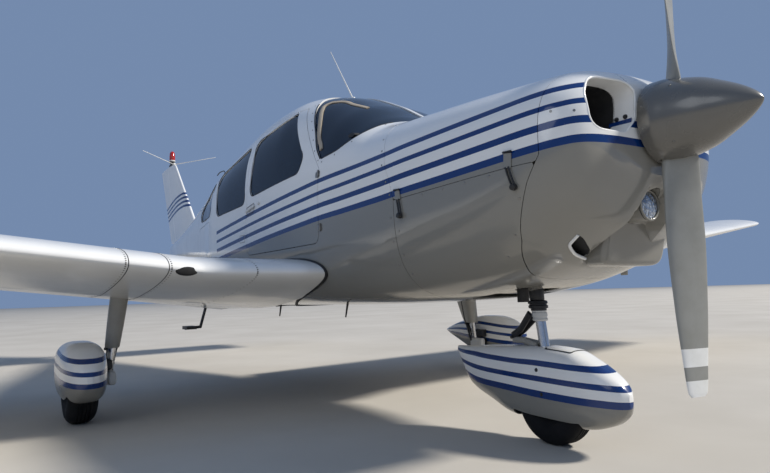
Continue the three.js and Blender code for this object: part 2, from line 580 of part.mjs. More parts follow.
function wingParts() {
  const ribs = [...WING.map((row) => row[0]), ...TWIST_RIBS].sort((a, b) => a - b);
  const spans = between(WING[0][0], WING.at(-1)[0], ribs);
  const whole = cut(loft(spans.map((y) => foilRing(y, wingAt(y)))), grownBody);
  const moving = SURFACES.map((surface) => {
    const [from, to] = surface.line.map(([y]) => y);
    let panel = whole.intersect(surfaceRegion(surface, from + END_GAP, to - END_GAP, 0));
    for (const y of surface.hinges) {
      const [px, , pz] = hingePoint(surface, y);
      panel = cut(panel, box(px - 24, px + 200, y - HINGE.slot, y + HINGE.slot, pz - 150, pz + 150));
      panel = joined(panel, rod(hingePoint(surface, y - HINGE.slot - 8),
        hingePoint(surface, y + HINGE.slot + 8), HINGE.pin, 8));
    }
    return [surface.name, panel];
  });
  let wing = whole;
  for (const surface of SURFACES) {
    wing = cut(wing, surfaceRegion(surface, surface.line[0][0], surface.line[1][0], MOVE_GAP));
    for (const y of surface.hinges) {
      const [px, , pz] = hingePoint(surface, y);
      const { half } = depthAt(y, FRONT - px);
      const arm = box(px, px + half + 30, y - HINGE.plate, y + HINGE.plate, pz - HINGE.eye, pz + HINGE.eye);
      const eye = rod([px, y - HINGE.plate, pz], [px, y + HINGE.plate, pz], HINGE.eye, 10);
      const hole = rod(hingePoint(surface, y - 20), hingePoint(surface, y + 20), HINGE.pin + FIT, 12);
      wing = joined(wing, cut(joined(arm, eye), hole));
    }
  }
  const pocket = rod(strutAt(420), strutAt(770), STRUT.radius + FIT, 16);
  wing = cut(joined(wing, tieDown(3150, 2760)), pocket);
  const base = wingAt(5180);
  const tipRing = (y, lead, chord, thickness, rise) => foilRing(y, {
    lead, chord, thickness, z: base.z + (y - 5180) * DIHEDRAL + rise, drop: base.drop * (chord / base.chord),
  });
  const tip = loft([
    tipRing(5180 + SEAM, base.lead, base.chord, base.thickness, 0),
    tipRing(5250, 2520, 1078, 108, 3),
    tipRing(5300, 2572, 990, 74, 9),
    tipRing(TIP_Y - 10, 2640, 880, 40, 16),
    tipRing(TIP_Y, 2690, 780, 18, 20),
  ]);
  return [["wing", wing], ...moving, ["wing_tip", tip]];
}
const mirrored = (solid) => solid.mirror([0, 1, 0]);
const SIDES = [["left", (solid) => solid], ["right", mirrored]];
const WING_PARTS = wingParts();
for (const [part, solid] of WING_PARTS) {
  for (const [side, turn] of SIDES) piece(part + "_" + side, turn(solid), WHITE);
}

// Main landing gear: oleo strut in a cuff, axle, wheel, tyre and fairing on each side
const WHEEL = { station: 2870, y: 1524, radius: 203, width: 150, rim: 82 };
const AXLE_Z = WHEEL.radius;

// Wheel fairings: station, half width, bottom, top
const MAIN_FAIRING = [
  [2532, 14, 232, 276],
  [2550, 46, 196, 318],
  [2600, 80, 158, 366],
  [2690, 105, 124, 412],
  [2800, 114, 110, 432],
  [2920, 115, 112, 434],
  [3060, 106, 150, 420],
  [3220, 80, 212, 384],
  [3380, 42, 272, 336],
  [3450, 10, 296, 312],
];
const NOSE_FAIRING = [
  [545, 12, 192, 240],
  [567, 42, 152, 272],
  [618, 70, 116, 311],
  [703, 90, 91, 357],
  [788, 95, 84, 391],
  [959, 95, 88, 400],
  [1108, 90, 100, 396],
  [1235, 76, 142, 389],
  [1384, 46, 197, 379],
  [1504, 12, 341, 373],
];
function fairingLoft(table, y, inset, points = 16) {
  const rows = inset ? table.slice(1, -1) : table;
  return loft(rows.map(([station, half, low, high]) => Array.from({ length: points }, (_, i) => {
    const a = (2 * Math.PI * i) / points;
    const e = 2 / 3;
    return [x(station), y + (half - inset) * power(Math.sin(a), e),
      (low + high) / 2 + ((high - low) / 2 - inset) * power(Math.cos(a), e)];
  })));
}

function strutCuff() {
  const solid = loft(CUFF.map(([z, tail, half]) => {
    const [px, py] = strutAt(z);
    const nose = Array.from({ length: 9 }, (_, k) => {
      const turn = Math.PI / 2 - (Math.PI * k) / 8;
      return [px + half * Math.cos(turn), py + half * Math.sin(turn), z];
    });
    return [[x(tail), py + 2, z], ...nose, [x(tail), py - 2, z]];
  }));
  const [, wing] = WING_PARTS[0];
  const underSkin = depthAt(STRUT.top[0], STRUT.station).low - 14;
  const legRoom = rod(strutAt(underSkin), strutAt(800), STRUT.radius + 2, 16);
  return cut(solid, wing.translate([0, 0, -FIT]), legRoom);
}
function mainStrut() {
  const [, footY] = strutAt(300);
  const leg = joined(
    rod(strutAt(405), strutAt(768), STRUT.radius, 16),
    rod(strutAt(560), strutAt(572), STRUT.radius + 8, 16),
    rod(strutAt(262), strutAt(420), STRUT.piston, 16),
  );
  const bracket = bar("y", outline([[x(2960), 190], [x(2820), 190], [x(2820), 262], [x(2850), 292],
    [x(2910), 292], [x(2960), 262]], 12, 2), footY - 24, footY + 30);
  const axle = rod([x(WHEEL.station), footY + 20, AXLE_Z], [x(WHEEL.station), WHEEL.y + 50, AXLE_Z], 18, 16);
  const links = joined(
    bar("y", outline([[x(2915), 470], [x(2990), 372], [x(3006), 380], [x(2925), 500], [x(2900), 500]], 6, 2),
      footY - 22, footY + 6),
    bar("y", outline([[x(2945), 240], [x(2990), 366], [x(3006), 384], [x(3012), 366], [x(2958), 236]], 6, 2),
      footY - 22, footY + 14),
  );
  // The block that carries the wheel fairing by its inner side
  const mountBlock = box(x(2930), x(2830), footY, WHEEL.y - 60, 268, 330);
  const mount = cut(mountBlock, fairingLoft(MAIN_FAIRING, WHEEL.y - 2, -FIT));
  return joined(leg, strutCuff(), bracket, axle, links, mount);
}
function tyre(radius, width, rim, sides) {
  const h = width / 2;
  const crown = radius - rim;
  return [[rim, -h * 0.62], [rim + crown * 0.4, -h], [rim + crown * 0.78, -h * 0.9], [radius, -h * 0.36],
    [radius, h * 0.36], [rim + crown * 0.78, h * 0.9], [rim + crown * 0.4, h], [rim, h * 0.62], [rim, -h * 0.62]];
}
const tyreSolid = (w, centre, sides) => turned("y", tyre(w.radius, w.width, w.rim), centre, sides);
function wheelSolid(w, bore, centre, sides) {
  const h = w.width / 2;
  const r = w.rim - FIT;
  return turned("y", [[bore, -h * 0.55], [bore + 20, -h * 0.3], [r - 12, -h * 0.3], [r, -h * 0.6],
    [r, h * 0.6], [r - 12, h * 0.3], [bore + 20, h * 0.3], [bore, h * 0.55], [bore, -h * 0.55]], centre, sides);
}

function mainFairing() {
  const shell = cut(fairingLoft(MAIN_FAIRING, WHEEL.y - 2, 0), fairingLoft(MAIN_FAIRING, WHEEL.y - 2, 8, 12));
  const [, footY] = strutAt(300);
  return cut(
    shell,
    box(x(WHEEL.station + 245), x(WHEEL.station - 245), WHEEL.y - 94, WHEEL.y + 94, 0, 205),
    box(x(WHEEL.station + 40), x(WHEEL.station - 40), footY, WHEEL.y - 60, 150, 262),
  );
}
const wheelSets = {
  main_strut: [mainStrut(), METAL],
  wheel: [wheelSolid(WHEEL, 18 + FIT, [x(WHEEL.station), WHEEL.y, AXLE_Z], 24), WHITE],
  tyre: [tyreSolid(WHEEL, [x(WHEEL.station), WHEEL.y, AXLE_Z], 24), RUBBER],
  wheel_fairing: [mainFairing(), LOWER_GREY],
};
for (const [part, [solid, material]] of Object.entries(wheelSets)) {
  for (const [side, turn] of SIDES) piece(part + "_" + side, turn(solid), material);
}

// Nose gear: the leg leans, and everything below its bearing turns with the rudder pedals
const NOSE_WHEEL = { station: 908, radius: 174, width: 124, rim: 66 };
const noseAxle = [x(NOSE_WHEEL.station), 0, NOSE_WHEEL.radius];

const noseLeg = joined(
  rod(steerAt(LEG.foot), steerAt(LEG.shoulder), LEG.radius, 16),
  rod(steerAt(LEG.foot - 6), steerAt(546), LEG.radius + 4, 16),
  rod(steerAt(558), steerAt(588), LEG.radius + 11, 16),
  rod(steerAt(LEG.shoulder - 5), steerAt(LEG.top), LEG.neck, 16),
);
const noseBore = rod(steerAt(400), steerAt(620), LEG.bore + FIT, 16);
const KNEE = [x(1092), 424];
const noseUpperLink = cut(
  bar("y", outline([[steerAt(530)[0] - 20, 542], [KNEE[0] - 10, KNEE[1] + 8], [KNEE[0] - 8, KNEE[1] - 10],
    [KNEE[0] + 10, KNEE[1] - 8], [steerAt(510)[0] - 20, 502]], 6, 2), -22, 22),
  rod(steerAt(400), steerAt(620), LEG.radius + 1, 16),
);
piece("nose_strut", cut(joined(noseLeg, noseUpperLink), noseBore), METAL);

// The fork's crown and legs straddle the tyre inside the fairing.
const CROWN = { low: 357, top: 369 };
function noseFork() {
  const piston = rod(steerAt(CROWN.low + 4), steerAt(600), LEG.bore, 16);
  const [crownX] = steerAt(CROWN.top);
  const front = bar("x", outline([
    [-54, CROWN.top], [54, CROWN.top], [79, 308], [79, 155], [69, 155], [69, 304], [52, CROWN.low],
    [-52, CROWN.low], [-69, 304], [-69, 155], [-79, 155], [-79, 308],
  ]), x(1100), x(800));
  const side = bar("y", outline([
    [crownX - 34, CROWN.top], [crownX + 34, CROWN.top], [noseAxle[0] + 26, noseAxle[2] + 10],
    [noseAxle[0] + 20, noseAxle[2] - 18], [noseAxle[0] - 20, noseAxle[2] - 18],
    [noseAxle[0] - 26, noseAxle[2] + 10],
  ]), -90, 90);
  const axle = rod([noseAxle[0], -100, noseAxle[2]], [noseAxle[0], 100, noseAxle[2]], 15, 16)
    .intersect(fairingLoft(NOSE_FAIRING, 0, 8 + FIT, 12));
  const lowerLink = bar("y", outline([
    [KNEE[0] + 12, KNEE[1] - 11], [KNEE[0] - 8, KNEE[1] - 13], [KNEE[0] - 4, KNEE[1] - 28],
    [steerAt(405)[0] - 16, 396], [steerAt(405)[0] - 16, 414],
  ], 4, 2), -18, 18);
  return joined(piston, front.intersect(side), axle, lowerLink);
}
piece("nose_fork", noseFork(), METAL);
piece("nose_wheel", wheelSolid(NOSE_WHEEL, 15 + FIT, noseAxle, 24), WHITE);
piece("nose_tyre", tyreSolid(NOSE_WHEEL, noseAxle, 24), RUBBER);
function noseFairing() {
  const shell = cut(fairingLoft(NOSE_FAIRING, 0, 0), fairingLoft(NOSE_FAIRING, 0, 8, 12));
  return cut(
    shell,
    box(x(NOSE_WHEEL.station + 196), x(NOSE_WHEEL.station - 196), -76, 76, 0, 185),
    rod(steerAt(370), steerAt(440), LEG.bore + 7, 16),
    box(x(1110), steerAt(400)[0], -26, 26, 380, 440),
  );
}
piece("nose_fairing", noseFairing(), LOWER_GREY);

// Propeller and spinner
const PROP = { station: 289, radius: 950, tilt: 0.3 };
// Blade sections: radius, chord, thickness, pitch in degrees
const BLADE_TABLE = [
  [50, 104, 50, 60],
  [150, 122, 38, 45],
  [260, 132, 26, 32],
  [450, 148, 18, 23],
  [650, 136, 14, 18],
  [840, 106, 10, 15],
  [935, 85, 7, 13.5],
  [PROP.radius, 62, 5, 13],
];
function blade() {
  const steps = 14;
  return loft(BLADE_TABLE.map(([r, chord, thickness, pitch]) => Array.from({ length: steps }, (_, i) => {
    const a = (2 * Math.PI * i) / steps;
    const u = (chord / 2) * Math.cos(a);
    const v = (thickness / 2) * Math.sin(a) * (1 - 0.35 * Math.cos(a));
    const p = THREE.MathUtils.degToRad(pitch);
    return [x(PROP.station) + u * Math.sin(p) + v * Math.cos(p), -u * Math.cos(p) + v * Math.sin(p), r];
  })));
}
const SPINNER_BACK = 346;
const SPINNER = [[12, 6], [31, 24], [59, 62], [90, 118], [119, 180], [138, 253], [149, 311], [149, SPINNER_BACK]];
function propellerParts() {
  const half = blade();
  const hub = rod([x(236), 0, 0], [x(344), 0, 0], 60, 20);
  const shaft = rod([x(330), 0, 0], [x(SHAFT.end), 0, 0], SHAFT.radius, 20);
  const turning = joined(hub, shaft, half, half.rotate([180, 0, 0]));
  const blades = turning.rotate([PROP.tilt, 0, 0]).translate([0, 0, THRUST_Z]);
  const outer = [[0, 0], ...SPINNER.map(([r, s]) => [r, s]), [0, SPINNER_BACK]];
  const cone = solidOf(new THREE.LatheGeometry(
    outer.map(([r, s]) => new THREE.Vector2(r, -s)), 28).rotateZ(-Math.PI / 2).translate(x(0), 0, THRUST_Z));
  const room = joined(
    rod([x(236 - FIT), 0, THRUST_Z], [x(350), 0, THRUST_Z], 60 + FIT, 20),
    ...[[-220, -48], [48, 220]].map(([low, high]) =>
      box(x(352), x(230), -62, 62, low, high).rotate([PROP.tilt, 0, 0]).translate([0, 0, THRUST_Z])),
  );
  return { blades, spinner: cut(cone, room) };
}
const { blades, spinner } = propellerParts();
piece("propeller", blades, BLADE);
piece("spinner", spinner, WHITE);

// Fin and rudder
const RUDDER_TRAIL = [[6712, 1300], [LENGTH, 2236]];
const RUDDER_LINE = [[6486, 1300], [6800, 2236]];
const onLine = ([[s0, z0], [s1, z1]], z) => s0 + ((z - z0) / (z1 - z0)) * (s1 - s0);
const FIN_TOP = 2236;
const FIN_LEVELS = [1250, 1508, 1752, 2000, 2180, FIN_TOP];
const finLead = (z) => {
  const rows = [[5500, 1250], [5820, 1508], [6060, 1752], [6536, 2231], [6560, 2240]];
  const i = Math.max(1, rows.findIndex((row) => row[1] >= z));
  return onLine([rows[i - 1], rows[i]], z);
};
// Half thickness across the fin, by share of the chord
const FIN_FOIL = [[0, 0.001], [0.02, 0.45], [0.1, 0.85], [0.3, 1], [0.6, 0.72], [1, 0.03]];
const finHalf = (z) => 42 - 16 * ((z - 1250) / (FIN_TOP - 1250));
function finSection(z) {
  const lead = finLead(z);
  const trail = onLine(RUDDER_TRAIL, z);
  const half = finHalf(z);
  const side = (k) => FIN_FOIL.map(([u, h]) => [x(lead + u * (trail - lead)), k * Math.max(h * half, 0.8), z]);
  return [...side(1), ...side(-1).reverse()];
}
const finWhole = loft(FIN_LEVELS.map((z) => finSection(z)));


// The rudder turns about a leaning line; its nose is round about it.
function rudderRegion(low, high, gap) {
  const ringAt = (z) => {
    const station = onLine(RUDDER_LINE, z);
    const share = (station - finLead(z)) / (onLine(RUDDER_TRAIL, z) - finLead(z));
    const i = FIN_FOIL.findIndex((row) => row[0] > share);
    const [a, b] = [FIN_FOIL[i - 1], FIN_FOIL[i]];
    const r = finHalf(z) * (a[1] + ((share - a[0]) / (b[0] - a[0])) * (b[1] - a[1])) + gap;
    const arc = Array.from({ length: 9 }, (_, k) => {
      const turn = Math.PI / 2 - (Math.PI * k) / 8;
      return [x(station) + r * Math.cos(turn), r * Math.sin(turn), z];
    });
    return [[x(station), 200, z], ...arc, [x(station), -200, z], [x(station + 700), -200, z],
      [x(station + 700), 200, z]];
  };
  return loft(between(low, high, FIN_LEVELS).map(ringAt));
}
const RUDDER = { low: 1306, high: FIN_TOP, hinges: [1380, 1740, 2130] };
const rudderPoint = (z) => [x(onLine(RUDDER_LINE, z)), 0, z];

function finAndRudder() {
  let rudder = finWhole.intersect(rudderRegion(RUDDER.low, RUDDER.high + 50, 0));
  let fin = cut(finWhole, rudderRegion(RUDDER.low - 60, RUDDER.high + 50, 8));
  for (const z of RUDDER.hinges) {
    const [px] = rudderPoint(z);
    rudder = cut(rudder, box(px - 20, px + 200, -120, 120, z - 13, z + 13));
    rudder = joined(rudder, rod(rudderPoint(z - 21), rudderPoint(z + 21), 4, 8));
    const arm = box(px, px + 60, -9, 9, z - 6, z + 6);
    const eye = rod([px, 0, z - 6], [px, 0, z + 6], 11, 10);
    fin = joined(fin, cut(joined(arm, eye), rod(rudderPoint(z - 20), rudderPoint(z + 20), 4 + FIT, 12)));
  }
  return { fin: cut(fin, grownBody), rudder };
}
const { fin, rudder } = finAndRudder();
piece("fin", fin, WHITE);
piece("rudder", rudder, WHITE);

// Tail cone with a lug under the fin's foot, and the all-moving stabilator with its tab
piece("tail_cone", cut(joined(tailOuter, tailTieDown), tubeHole), WHITE);

const STAB_FOIL = [[0, 0, 0], [0.02, 0.3, -0.3], [0.1, 0.46, -0.46], [0.3, 0.5, -0.5], [0.6, 0.36, -0.36],
  [0.85, 0.16, -0.16], [1, 0.02, -0.02]];
const TAB = { chord: 118, half: 1500, hinges: [420, 1260] };
const stabRing = (y, lead, trail, thickness) => {
  const stationOf = (u) => STAB.pivot - lead + u * (lead + trail);
  const at = ([u, top, low], up) => [x(stationOf(u)), y, STAB.z + (up ? top : low) * thickness];
  return [at(STAB_FOIL[0], true), ...STAB_FOIL.slice(1).map((row) => at(row, true)),
    ...STAB_FOIL.slice(1).reverse().map((row) => at(row, false))];
};
function stabilatorParts() {
  const half = loft([
    stabRing(STAB.root, STAB.lead, STAB.trail, 82),
    stabRing(STAB.tip - 70, STAB.lead, STAB.trail, 80),
    stabRing(STAB.tip - 22, STAB.lead - 16, STAB.trail - 12, 56),
    stabRing(STAB.tip, STAB.lead - 46, STAB.trail - 36, 16),
  ]);
  const hingeS = STAB.pivot + STAB.trail - TAB.chord;
  const r = 10;
  const region = (y0, y1, gap) => loft([y0, y1].map((y) => {
    const arc = Array.from({ length: 7 }, (_, k) => {
      const turn = Math.PI / 2 - (Math.PI * k) / 6;
      return [x(hingeS) + (r + gap) * Math.cos(turn), y, STAB.z + (r + gap) * Math.sin(turn)];
    });
    return [[x(hingeS), y, STAB.z + 60], ...arc, [x(hingeS), y, STAB.z - 60], [x(hingeS + 300), y, STAB.z - 60],
      [x(hingeS + 300), y, STAB.z + 60]];
  }));
  let tab = half.intersect(region(STAB.root, TAB.half, 0));
  let stab = cut(half, region(0, TAB.half + 8, 8));
  for (const y of TAB.hinges) {
    tab = cut(tab, box(x(hingeS) - 18, x(hingeS) + 60, y - 11, y + 11, STAB.z - 60, STAB.z + 60));
    tab = joined(tab, rod([x(hingeS), y - 18, STAB.z], [x(hingeS), y + 18, STAB.z], 3.5, 8));
    const arm = box(x(hingeS), x(hingeS) + 34, y - 5, y + 5, STAB.z - 8, STAB.z + 8);
    const eye = rod([x(hingeS), y - 5, STAB.z], [x(hingeS), y + 5, STAB.z], 8, 10);
    const hole = rod([x(hingeS), y - 20, STAB.z], [x(hingeS), y + 20, STAB.z], 3.5 + FIT, 12);
    stab = joined(stab, cut(joined(arm, eye), hole));
  }
  const inner = STAB.root + 4;
  const middleTab = box(x(hingeS + TAB.chord - 6), x(hingeS), -inner, inner, STAB.z - 6, STAB.z + 6);
  const reach = STAB.root + 60;
  const tube = rod([x(STAB.pivot), -reach, STAB.z], [x(STAB.pivot), reach, STAB.z], STAB.tube, 24);
  return {
    stab: joined(stab, mirrored(stab), tube),
    tab: joined(tab, mirrored(tab), middleTab),
  };
}
const { stab, tab } = stabilatorParts();
piece("stabilator", stab, WHITE);
piece("stabilator_tab", tab, WHITE);

// Baggage door
piece("baggage_door", joined(baggageLeaf, ...baggageHinge("ears")), WHITE);

// Cabin furniture
const floorSolid = body(between(FIREWALL + 22, 3920, STATIONS), SKIN + FIT)
  .intersect(box(x(3920), x(FIREWALL + 22), -600, 600, 500, 700));
piece("cabin_floor", floorSolid, TRIM);
const seatSide = (station) => outline([
  [x(station - 20), 930], [x(station - 30), 700 + FIT], [x(station + 440), 700 + FIT], [x(station + 470), 900],
  [x(station + 640), 1400], [x(station + 610), 1490], [x(station + 560), 1500], [x(station + 510), 1420],
  [x(station + 380), 990], [x(station + 330), 960], [x(station + 40), 985],
], 40, 3);
for (const [side, low, high] of [["left", 50, 440], ["right", -440, -50]]) {
  piece("seat_front_" + side, bar("y", seatSide(2100), low, high), TRIM);
}
piece("seat_rear", bar("y", seatSide(3000), -425, 425), TRIM);
const panelSolid = bar("y", outline([[x(1560), 1010], [x(1640), 1010], [x(1690), 1400], [x(1660), 1440],
  [x(1560), 1425]], 10, 2), -470, 470).intersect(body([1500, 1560, 1700, 1930], SKIN + FIT));
const yokes = [-260, 260].map((y) => joined(
  rod([x(1640), y, 1190], [x(1830), y, 1190], 11, 12),
  bar("x", outline([[y - 130, 1280], [y - 100, 1280], [y - 90, 1205], [y + 90, 1205], [y + 100, 1280],
    [y + 130, 1280], [y + 120, 1170], [y - 120, 1170]], 12, 2), x(1850), x(1826)),
));
piece("instrument_panel", joined(panelSolid, ...yokes), BLACK);

// Lamps, aerials, step, pitot mast and exhaust
const BEACON = { station: 6690, z: FIN_TOP, radius: 34, lens: 112, height: 192 };
const lathe = (profile, centre, sides) => {
  const g = new THREE.LatheGeometry(profile.map(([r, z]) => new THREE.Vector2(r, z)), sides);
  return solidOf(g.rotateX(Math.PI / 2).translate(...centre));
};
const beaconBase = box(x(BEACON.station + 75), x(BEACON.station - 60), -17, 17, BEACON.z + FIT, BEACON.z + 34);
piece("beacon", joined(beaconBase, lathe([
  [0, 20], [BEACON.radius, 20], [BEACON.radius - 5, 60], [BEACON.radius - 5, BEACON.lens - 6],
  [BEACON.radius, BEACON.lens], [BEACON.radius, BEACON.height - 30], [BEACON.radius - 10, BEACON.height - 6],
  [0, BEACON.height],
], [x(BEACON.station), 0, BEACON.z], 20)), RED_LAMP);

const roofAt = (station) => smooth(SECTIONS, 4, station);
const bellyAt = (station) => smooth(SECTIONS, 2, station);
const whipRoot = [x(2446), 0, roofAt(2446)];
piece("com_antenna", cut(joined(
  rod([x(2446), 0, whipRoot[2] - 20], [x(2452), 0, whipRoot[2] + 26], 16, 12, 9),
  rod([x(2450), 0, whipRoot[2] + 10], [x(2735), 0, 2300], 5, 8, 3),
), grownBody), LAMP);

const navRoot = [x(6602), 0, FIN_TOP];
piece("nav_antenna", joined(
  box(navRoot[0] - 24, navRoot[0] + 24, -16, 16, FIN_TOP + FIT, FIN_TOP + 26),
  ...[1, -1].map((side) => rod([x(6608), side * 8, FIN_TOP + 16], [x(6347), side * 417, 2324], 6, 8, 4)),
), BLACK);

// Exhaust stub, from the engine's underside down through its own hole in the lower cowl
piece("exhaust_pipe", rod([x(EXHAUST.station), EXHAUST.y, ENGINE.bottom - FIT],
  [x(EXHAUST.station), EXHAUST.y, EXHAUST.end], EXHAUST.radius, 14), METAL);

// Pitot mast under the left wing
const PITOT = { y: 2930, station: 2620, drop: 150 };
const pitotTop = depthAt(PITOT.y, PITOT.station).low;
piece("pitot_mast", joined(
  bar("y", outline([[x(PITOT.station - 42), pitotTop + 40], [x(PITOT.station - 30), pitotTop - PITOT.drop],
    [x(PITOT.station + 34), pitotTop - PITOT.drop], [x(PITOT.station + 52), pitotTop + 40]]),
    PITOT.y - 7, PITOT.y + 7),
).subtract(WING_PARTS[0][1].translate([0, 0, -FIT])), METAL);

piece("boarding_step", cut(joined(
  rod([x(3900), -440, 800], [x(3900), -544, 428], 11, 10),
  rod([x(3900), -538, 430], [x(3900), -662, 423], 11, 10),
  box(x(3960), x(3840), -664, -590, 416, 440),
), grownBody), BLACK);

export default aircraft;
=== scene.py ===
# %% [markdown]
# # A four-seat light aircraft around its CAD frame
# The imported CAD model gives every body, joint and size. This lesson puts smooth skins, paint,
# rubber, glass and small fittings around it. All lengths are in metres. x points forward, y to the
# left wing and z up, and "station" means the distance aft of the spinner's tip.

import math

import bpy
import numpy as np
from mathutils import Matrix, Vector


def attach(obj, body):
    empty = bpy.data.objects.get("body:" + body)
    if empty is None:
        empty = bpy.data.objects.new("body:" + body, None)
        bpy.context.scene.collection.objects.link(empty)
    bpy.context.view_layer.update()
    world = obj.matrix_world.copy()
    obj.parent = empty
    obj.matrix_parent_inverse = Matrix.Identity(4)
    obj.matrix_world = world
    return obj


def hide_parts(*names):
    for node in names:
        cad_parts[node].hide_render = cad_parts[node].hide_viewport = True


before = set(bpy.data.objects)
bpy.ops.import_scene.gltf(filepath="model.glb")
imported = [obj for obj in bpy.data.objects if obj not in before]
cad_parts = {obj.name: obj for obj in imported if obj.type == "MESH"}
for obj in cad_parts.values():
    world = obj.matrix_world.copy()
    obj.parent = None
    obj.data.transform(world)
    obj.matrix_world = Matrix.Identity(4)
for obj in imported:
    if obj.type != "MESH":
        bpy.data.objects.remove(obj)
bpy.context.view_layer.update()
# x of the spinner's tip
FRONT = 3.58


def stacked(x, y, z):
    """Points from three arrays or numbers whose shapes fit together."""
    return np.stack(np.broadcast_arrays(x, y, z), -1)


# %% [markdown]
# ## Camera
# The photo was taken near the ground, to the front right of the nose, with a phone's wide lens. The
# camera's place and turn come from fitting known lengths of the aircraft.

# %% Camera
PHOTO_WIDTH, FOCAL_PIXELS = 770, 627.872
CAMERA_PLACE = (4.4996, -2.05420, 0.64391)
LOOK = np.array([-0.82680616, 0.55537035, 0.08919278])
RIGHT = np.array([0.55495192, 0.83127746, -0.03171996])
ABOVE_VIEW = np.array([0.09176027, -0.02327145, 0.99550916])
camera_data = bpy.data.cameras.new("camera")
camera_data.sensor_width = 36
camera_data.lens = FOCAL_PIXELS * 36 / PHOTO_WIDTH
camera_data.clip_end = 200
camera = bpy.data.objects.new("camera", camera_data)
bpy.context.collection.objects.link(camera)
turn = np.eye(4)
turn[:3, 0], turn[:3, 1], turn[:3, 2], turn[:3, 3] = RIGHT, ABOVE_VIEW, -LOOK, CAMERA_PLACE
camera.matrix_world = Matrix(turn.tolist())
bpy.context.scene.camera = camera
print("lens", round(camera_data.lens, 2))

# %% [markdown]
# ## Studio light
# The key lamp stands far off, high on the right of the picture, as the sun did, so the blade and
# the wing throw their shadows the same way. A weak fill and a blue surround lift the shadows.

# %% Light
SURROUND_COLOUR, SURROUND_STRENGTH = (0.40, 0.58, 0.94, 1), 0.44
LAMP_TARGET = (0.5, 0, 0.8)
LAMPS = [
    # name, place, diameter, power, colour
    ("key", (70.5, 90.0, 97.6), 20.0, 310000, (1.0, 0.95, 0.87)),
    ("fill", (5.5, -9.0, 6.0), 6.0, 120, (0.92, 0.96, 1.0)),
]
view_settings = bpy.context.scene.view_settings
view_settings.view_transform = "Standard"
view_settings.look = "None"
view_settings.exposure = 0.0
world = bpy.data.worlds.new("studio")
bpy.context.scene.world = world
world.use_nodes = True
surround = world.node_tree.nodes["Background"]
surround.inputs["Color"].default_value = SURROUND_COLOUR
surround.inputs["Strength"].default_value = SURROUND_STRENGTH
for name, place, size, power, colour in LAMPS:
    data = bpy.data.lights.new(name, "AREA")
    data.shape, data.size, data.energy, data.color = "DISK", size, power, colour
    lamp = bpy.data.objects.new(name, data)
    bpy.context.collection.objects.link(lamp)
    lamp.location = place
    lamp.rotation_euler = (Vector(LAMP_TARGET) - Vector(place)).to_track_quat("-Z", "Y").to_euler()
print("lamps", len(LAMPS))

# %% [markdown]
# ## Surfaces from numbers
# Real skins are stretched and rolled sheet. Here each is a grid of points worked out at once from
# two parameters, turned into faces, and given a wall thickness where its edge shows.

# %% Grid helpers


def full_turn(count):
    """Angles of equal steps once round."""
    return 2 * np.pi * np.arange(count) / count


def round_shares(count):
    """Equal shares once round, from 0 up to but not including 1."""
    return np.arange(count) / count


def signed_power(values, power):
    """The size of each value raised to a power, with the value's sign."""
    return np.sign(values) * np.abs(values) ** power


def unit(directions):
    """Directions divided by their lengths."""
    return directions / np.linalg.norm(directions, axis=-1, keepdims=True)


def run_along(path):
    """Distance walked along a path to each of its points."""
    return np.concatenate([[0], np.cumsum(np.linalg.norm(np.diff(path, axis=0), axis=1))])


def half_turn(start, count):
    """Angles from start to its opposite, without the two ends."""
    return np.linspace(start, -start, count + 2)[1:-1]


def steps(low, high, size):
    """Evenly spaced numbers from low to high, about size apart."""
    return np.linspace(low, high, max(2, int(round((high - low) / size)) + 1))


def grid_quads(rows, columns, wrap=False):
    """Four corners of each cell of a rows by columns grid; wrap joins the last column to the first."""
    index = np.arange(rows * columns).reshape(rows, columns)
    if wrap:
        index = np.hstack([index, index[:, :1]])
    return np.stack([index[:-1, :-1], index[:-1, 1:], index[1:, 1:], index[1:, :-1]], -1).reshape(-1, 4)


def as_triangles(faces):
    """Any mix of quads and triangles (a triangle has -1 as its last corner) as triangles."""
    quads = faces[faces[:, 3] >= 0]
    small = faces[faces[:, 3] < 0][:, :3]
    return np.vstack([quads[:, [0, 1, 2]], quads[:, [0, 2, 3]], small])


def outward_normals(points, faces):
    """Average of the normals of the faces round each point, weighted by area."""
    t = as_triangles(faces)
    flat = np.cross(points[t[:, 1]] - points[t[:, 0]], points[t[:, 2]] - points[t[:, 0]])
    total = np.zeros_like(points)
    for corner in range(3):
        np.add.at(total, t[:, corner], flat)
    return total / np.maximum(np.linalg.norm(total, axis=1, keepdims=True), 1e-12)


def volume(points, faces):
    """A sixth of the sum of each triangle's corner times the cross product of the other two."""
    t = as_triangles(faces)
    return np.einsum("ij,ij->i", points[t[:, 0]], np.cross(points[t[:, 1]], points[t[:, 2]])).sum() / 6


def flipped(faces):
    """The faces with their corners in the other order."""
    out = faces[:, [0, 3, 2, 1]].copy()
    small = faces[:, 3] < 0
    out[small] = faces[small][:, [0, 2, 1, 3]]
    return out


def rim_edges(faces):
    """Directed edges that belong to one face only."""
    quads = faces[faces[:, 3] >= 0]
    small = faces[faces[:, 3] < 0][:, :3]
    edges = np.vstack(
        [quads[:, [i, (i + 1) % 4]] for i in range(4)] + [small[:, [i, (i + 1) % 3]] for i in range(3)]
    )
    edges = edges[edges[:, 0] != edges[:, 1]]
    size = int(edges.max()) + 1
    forward = edges[:, 0] * size + edges[:, 1]
    back = edges[:, 1] * size + edges[:, 0]
    return edges[~np.isin(forward, back)]


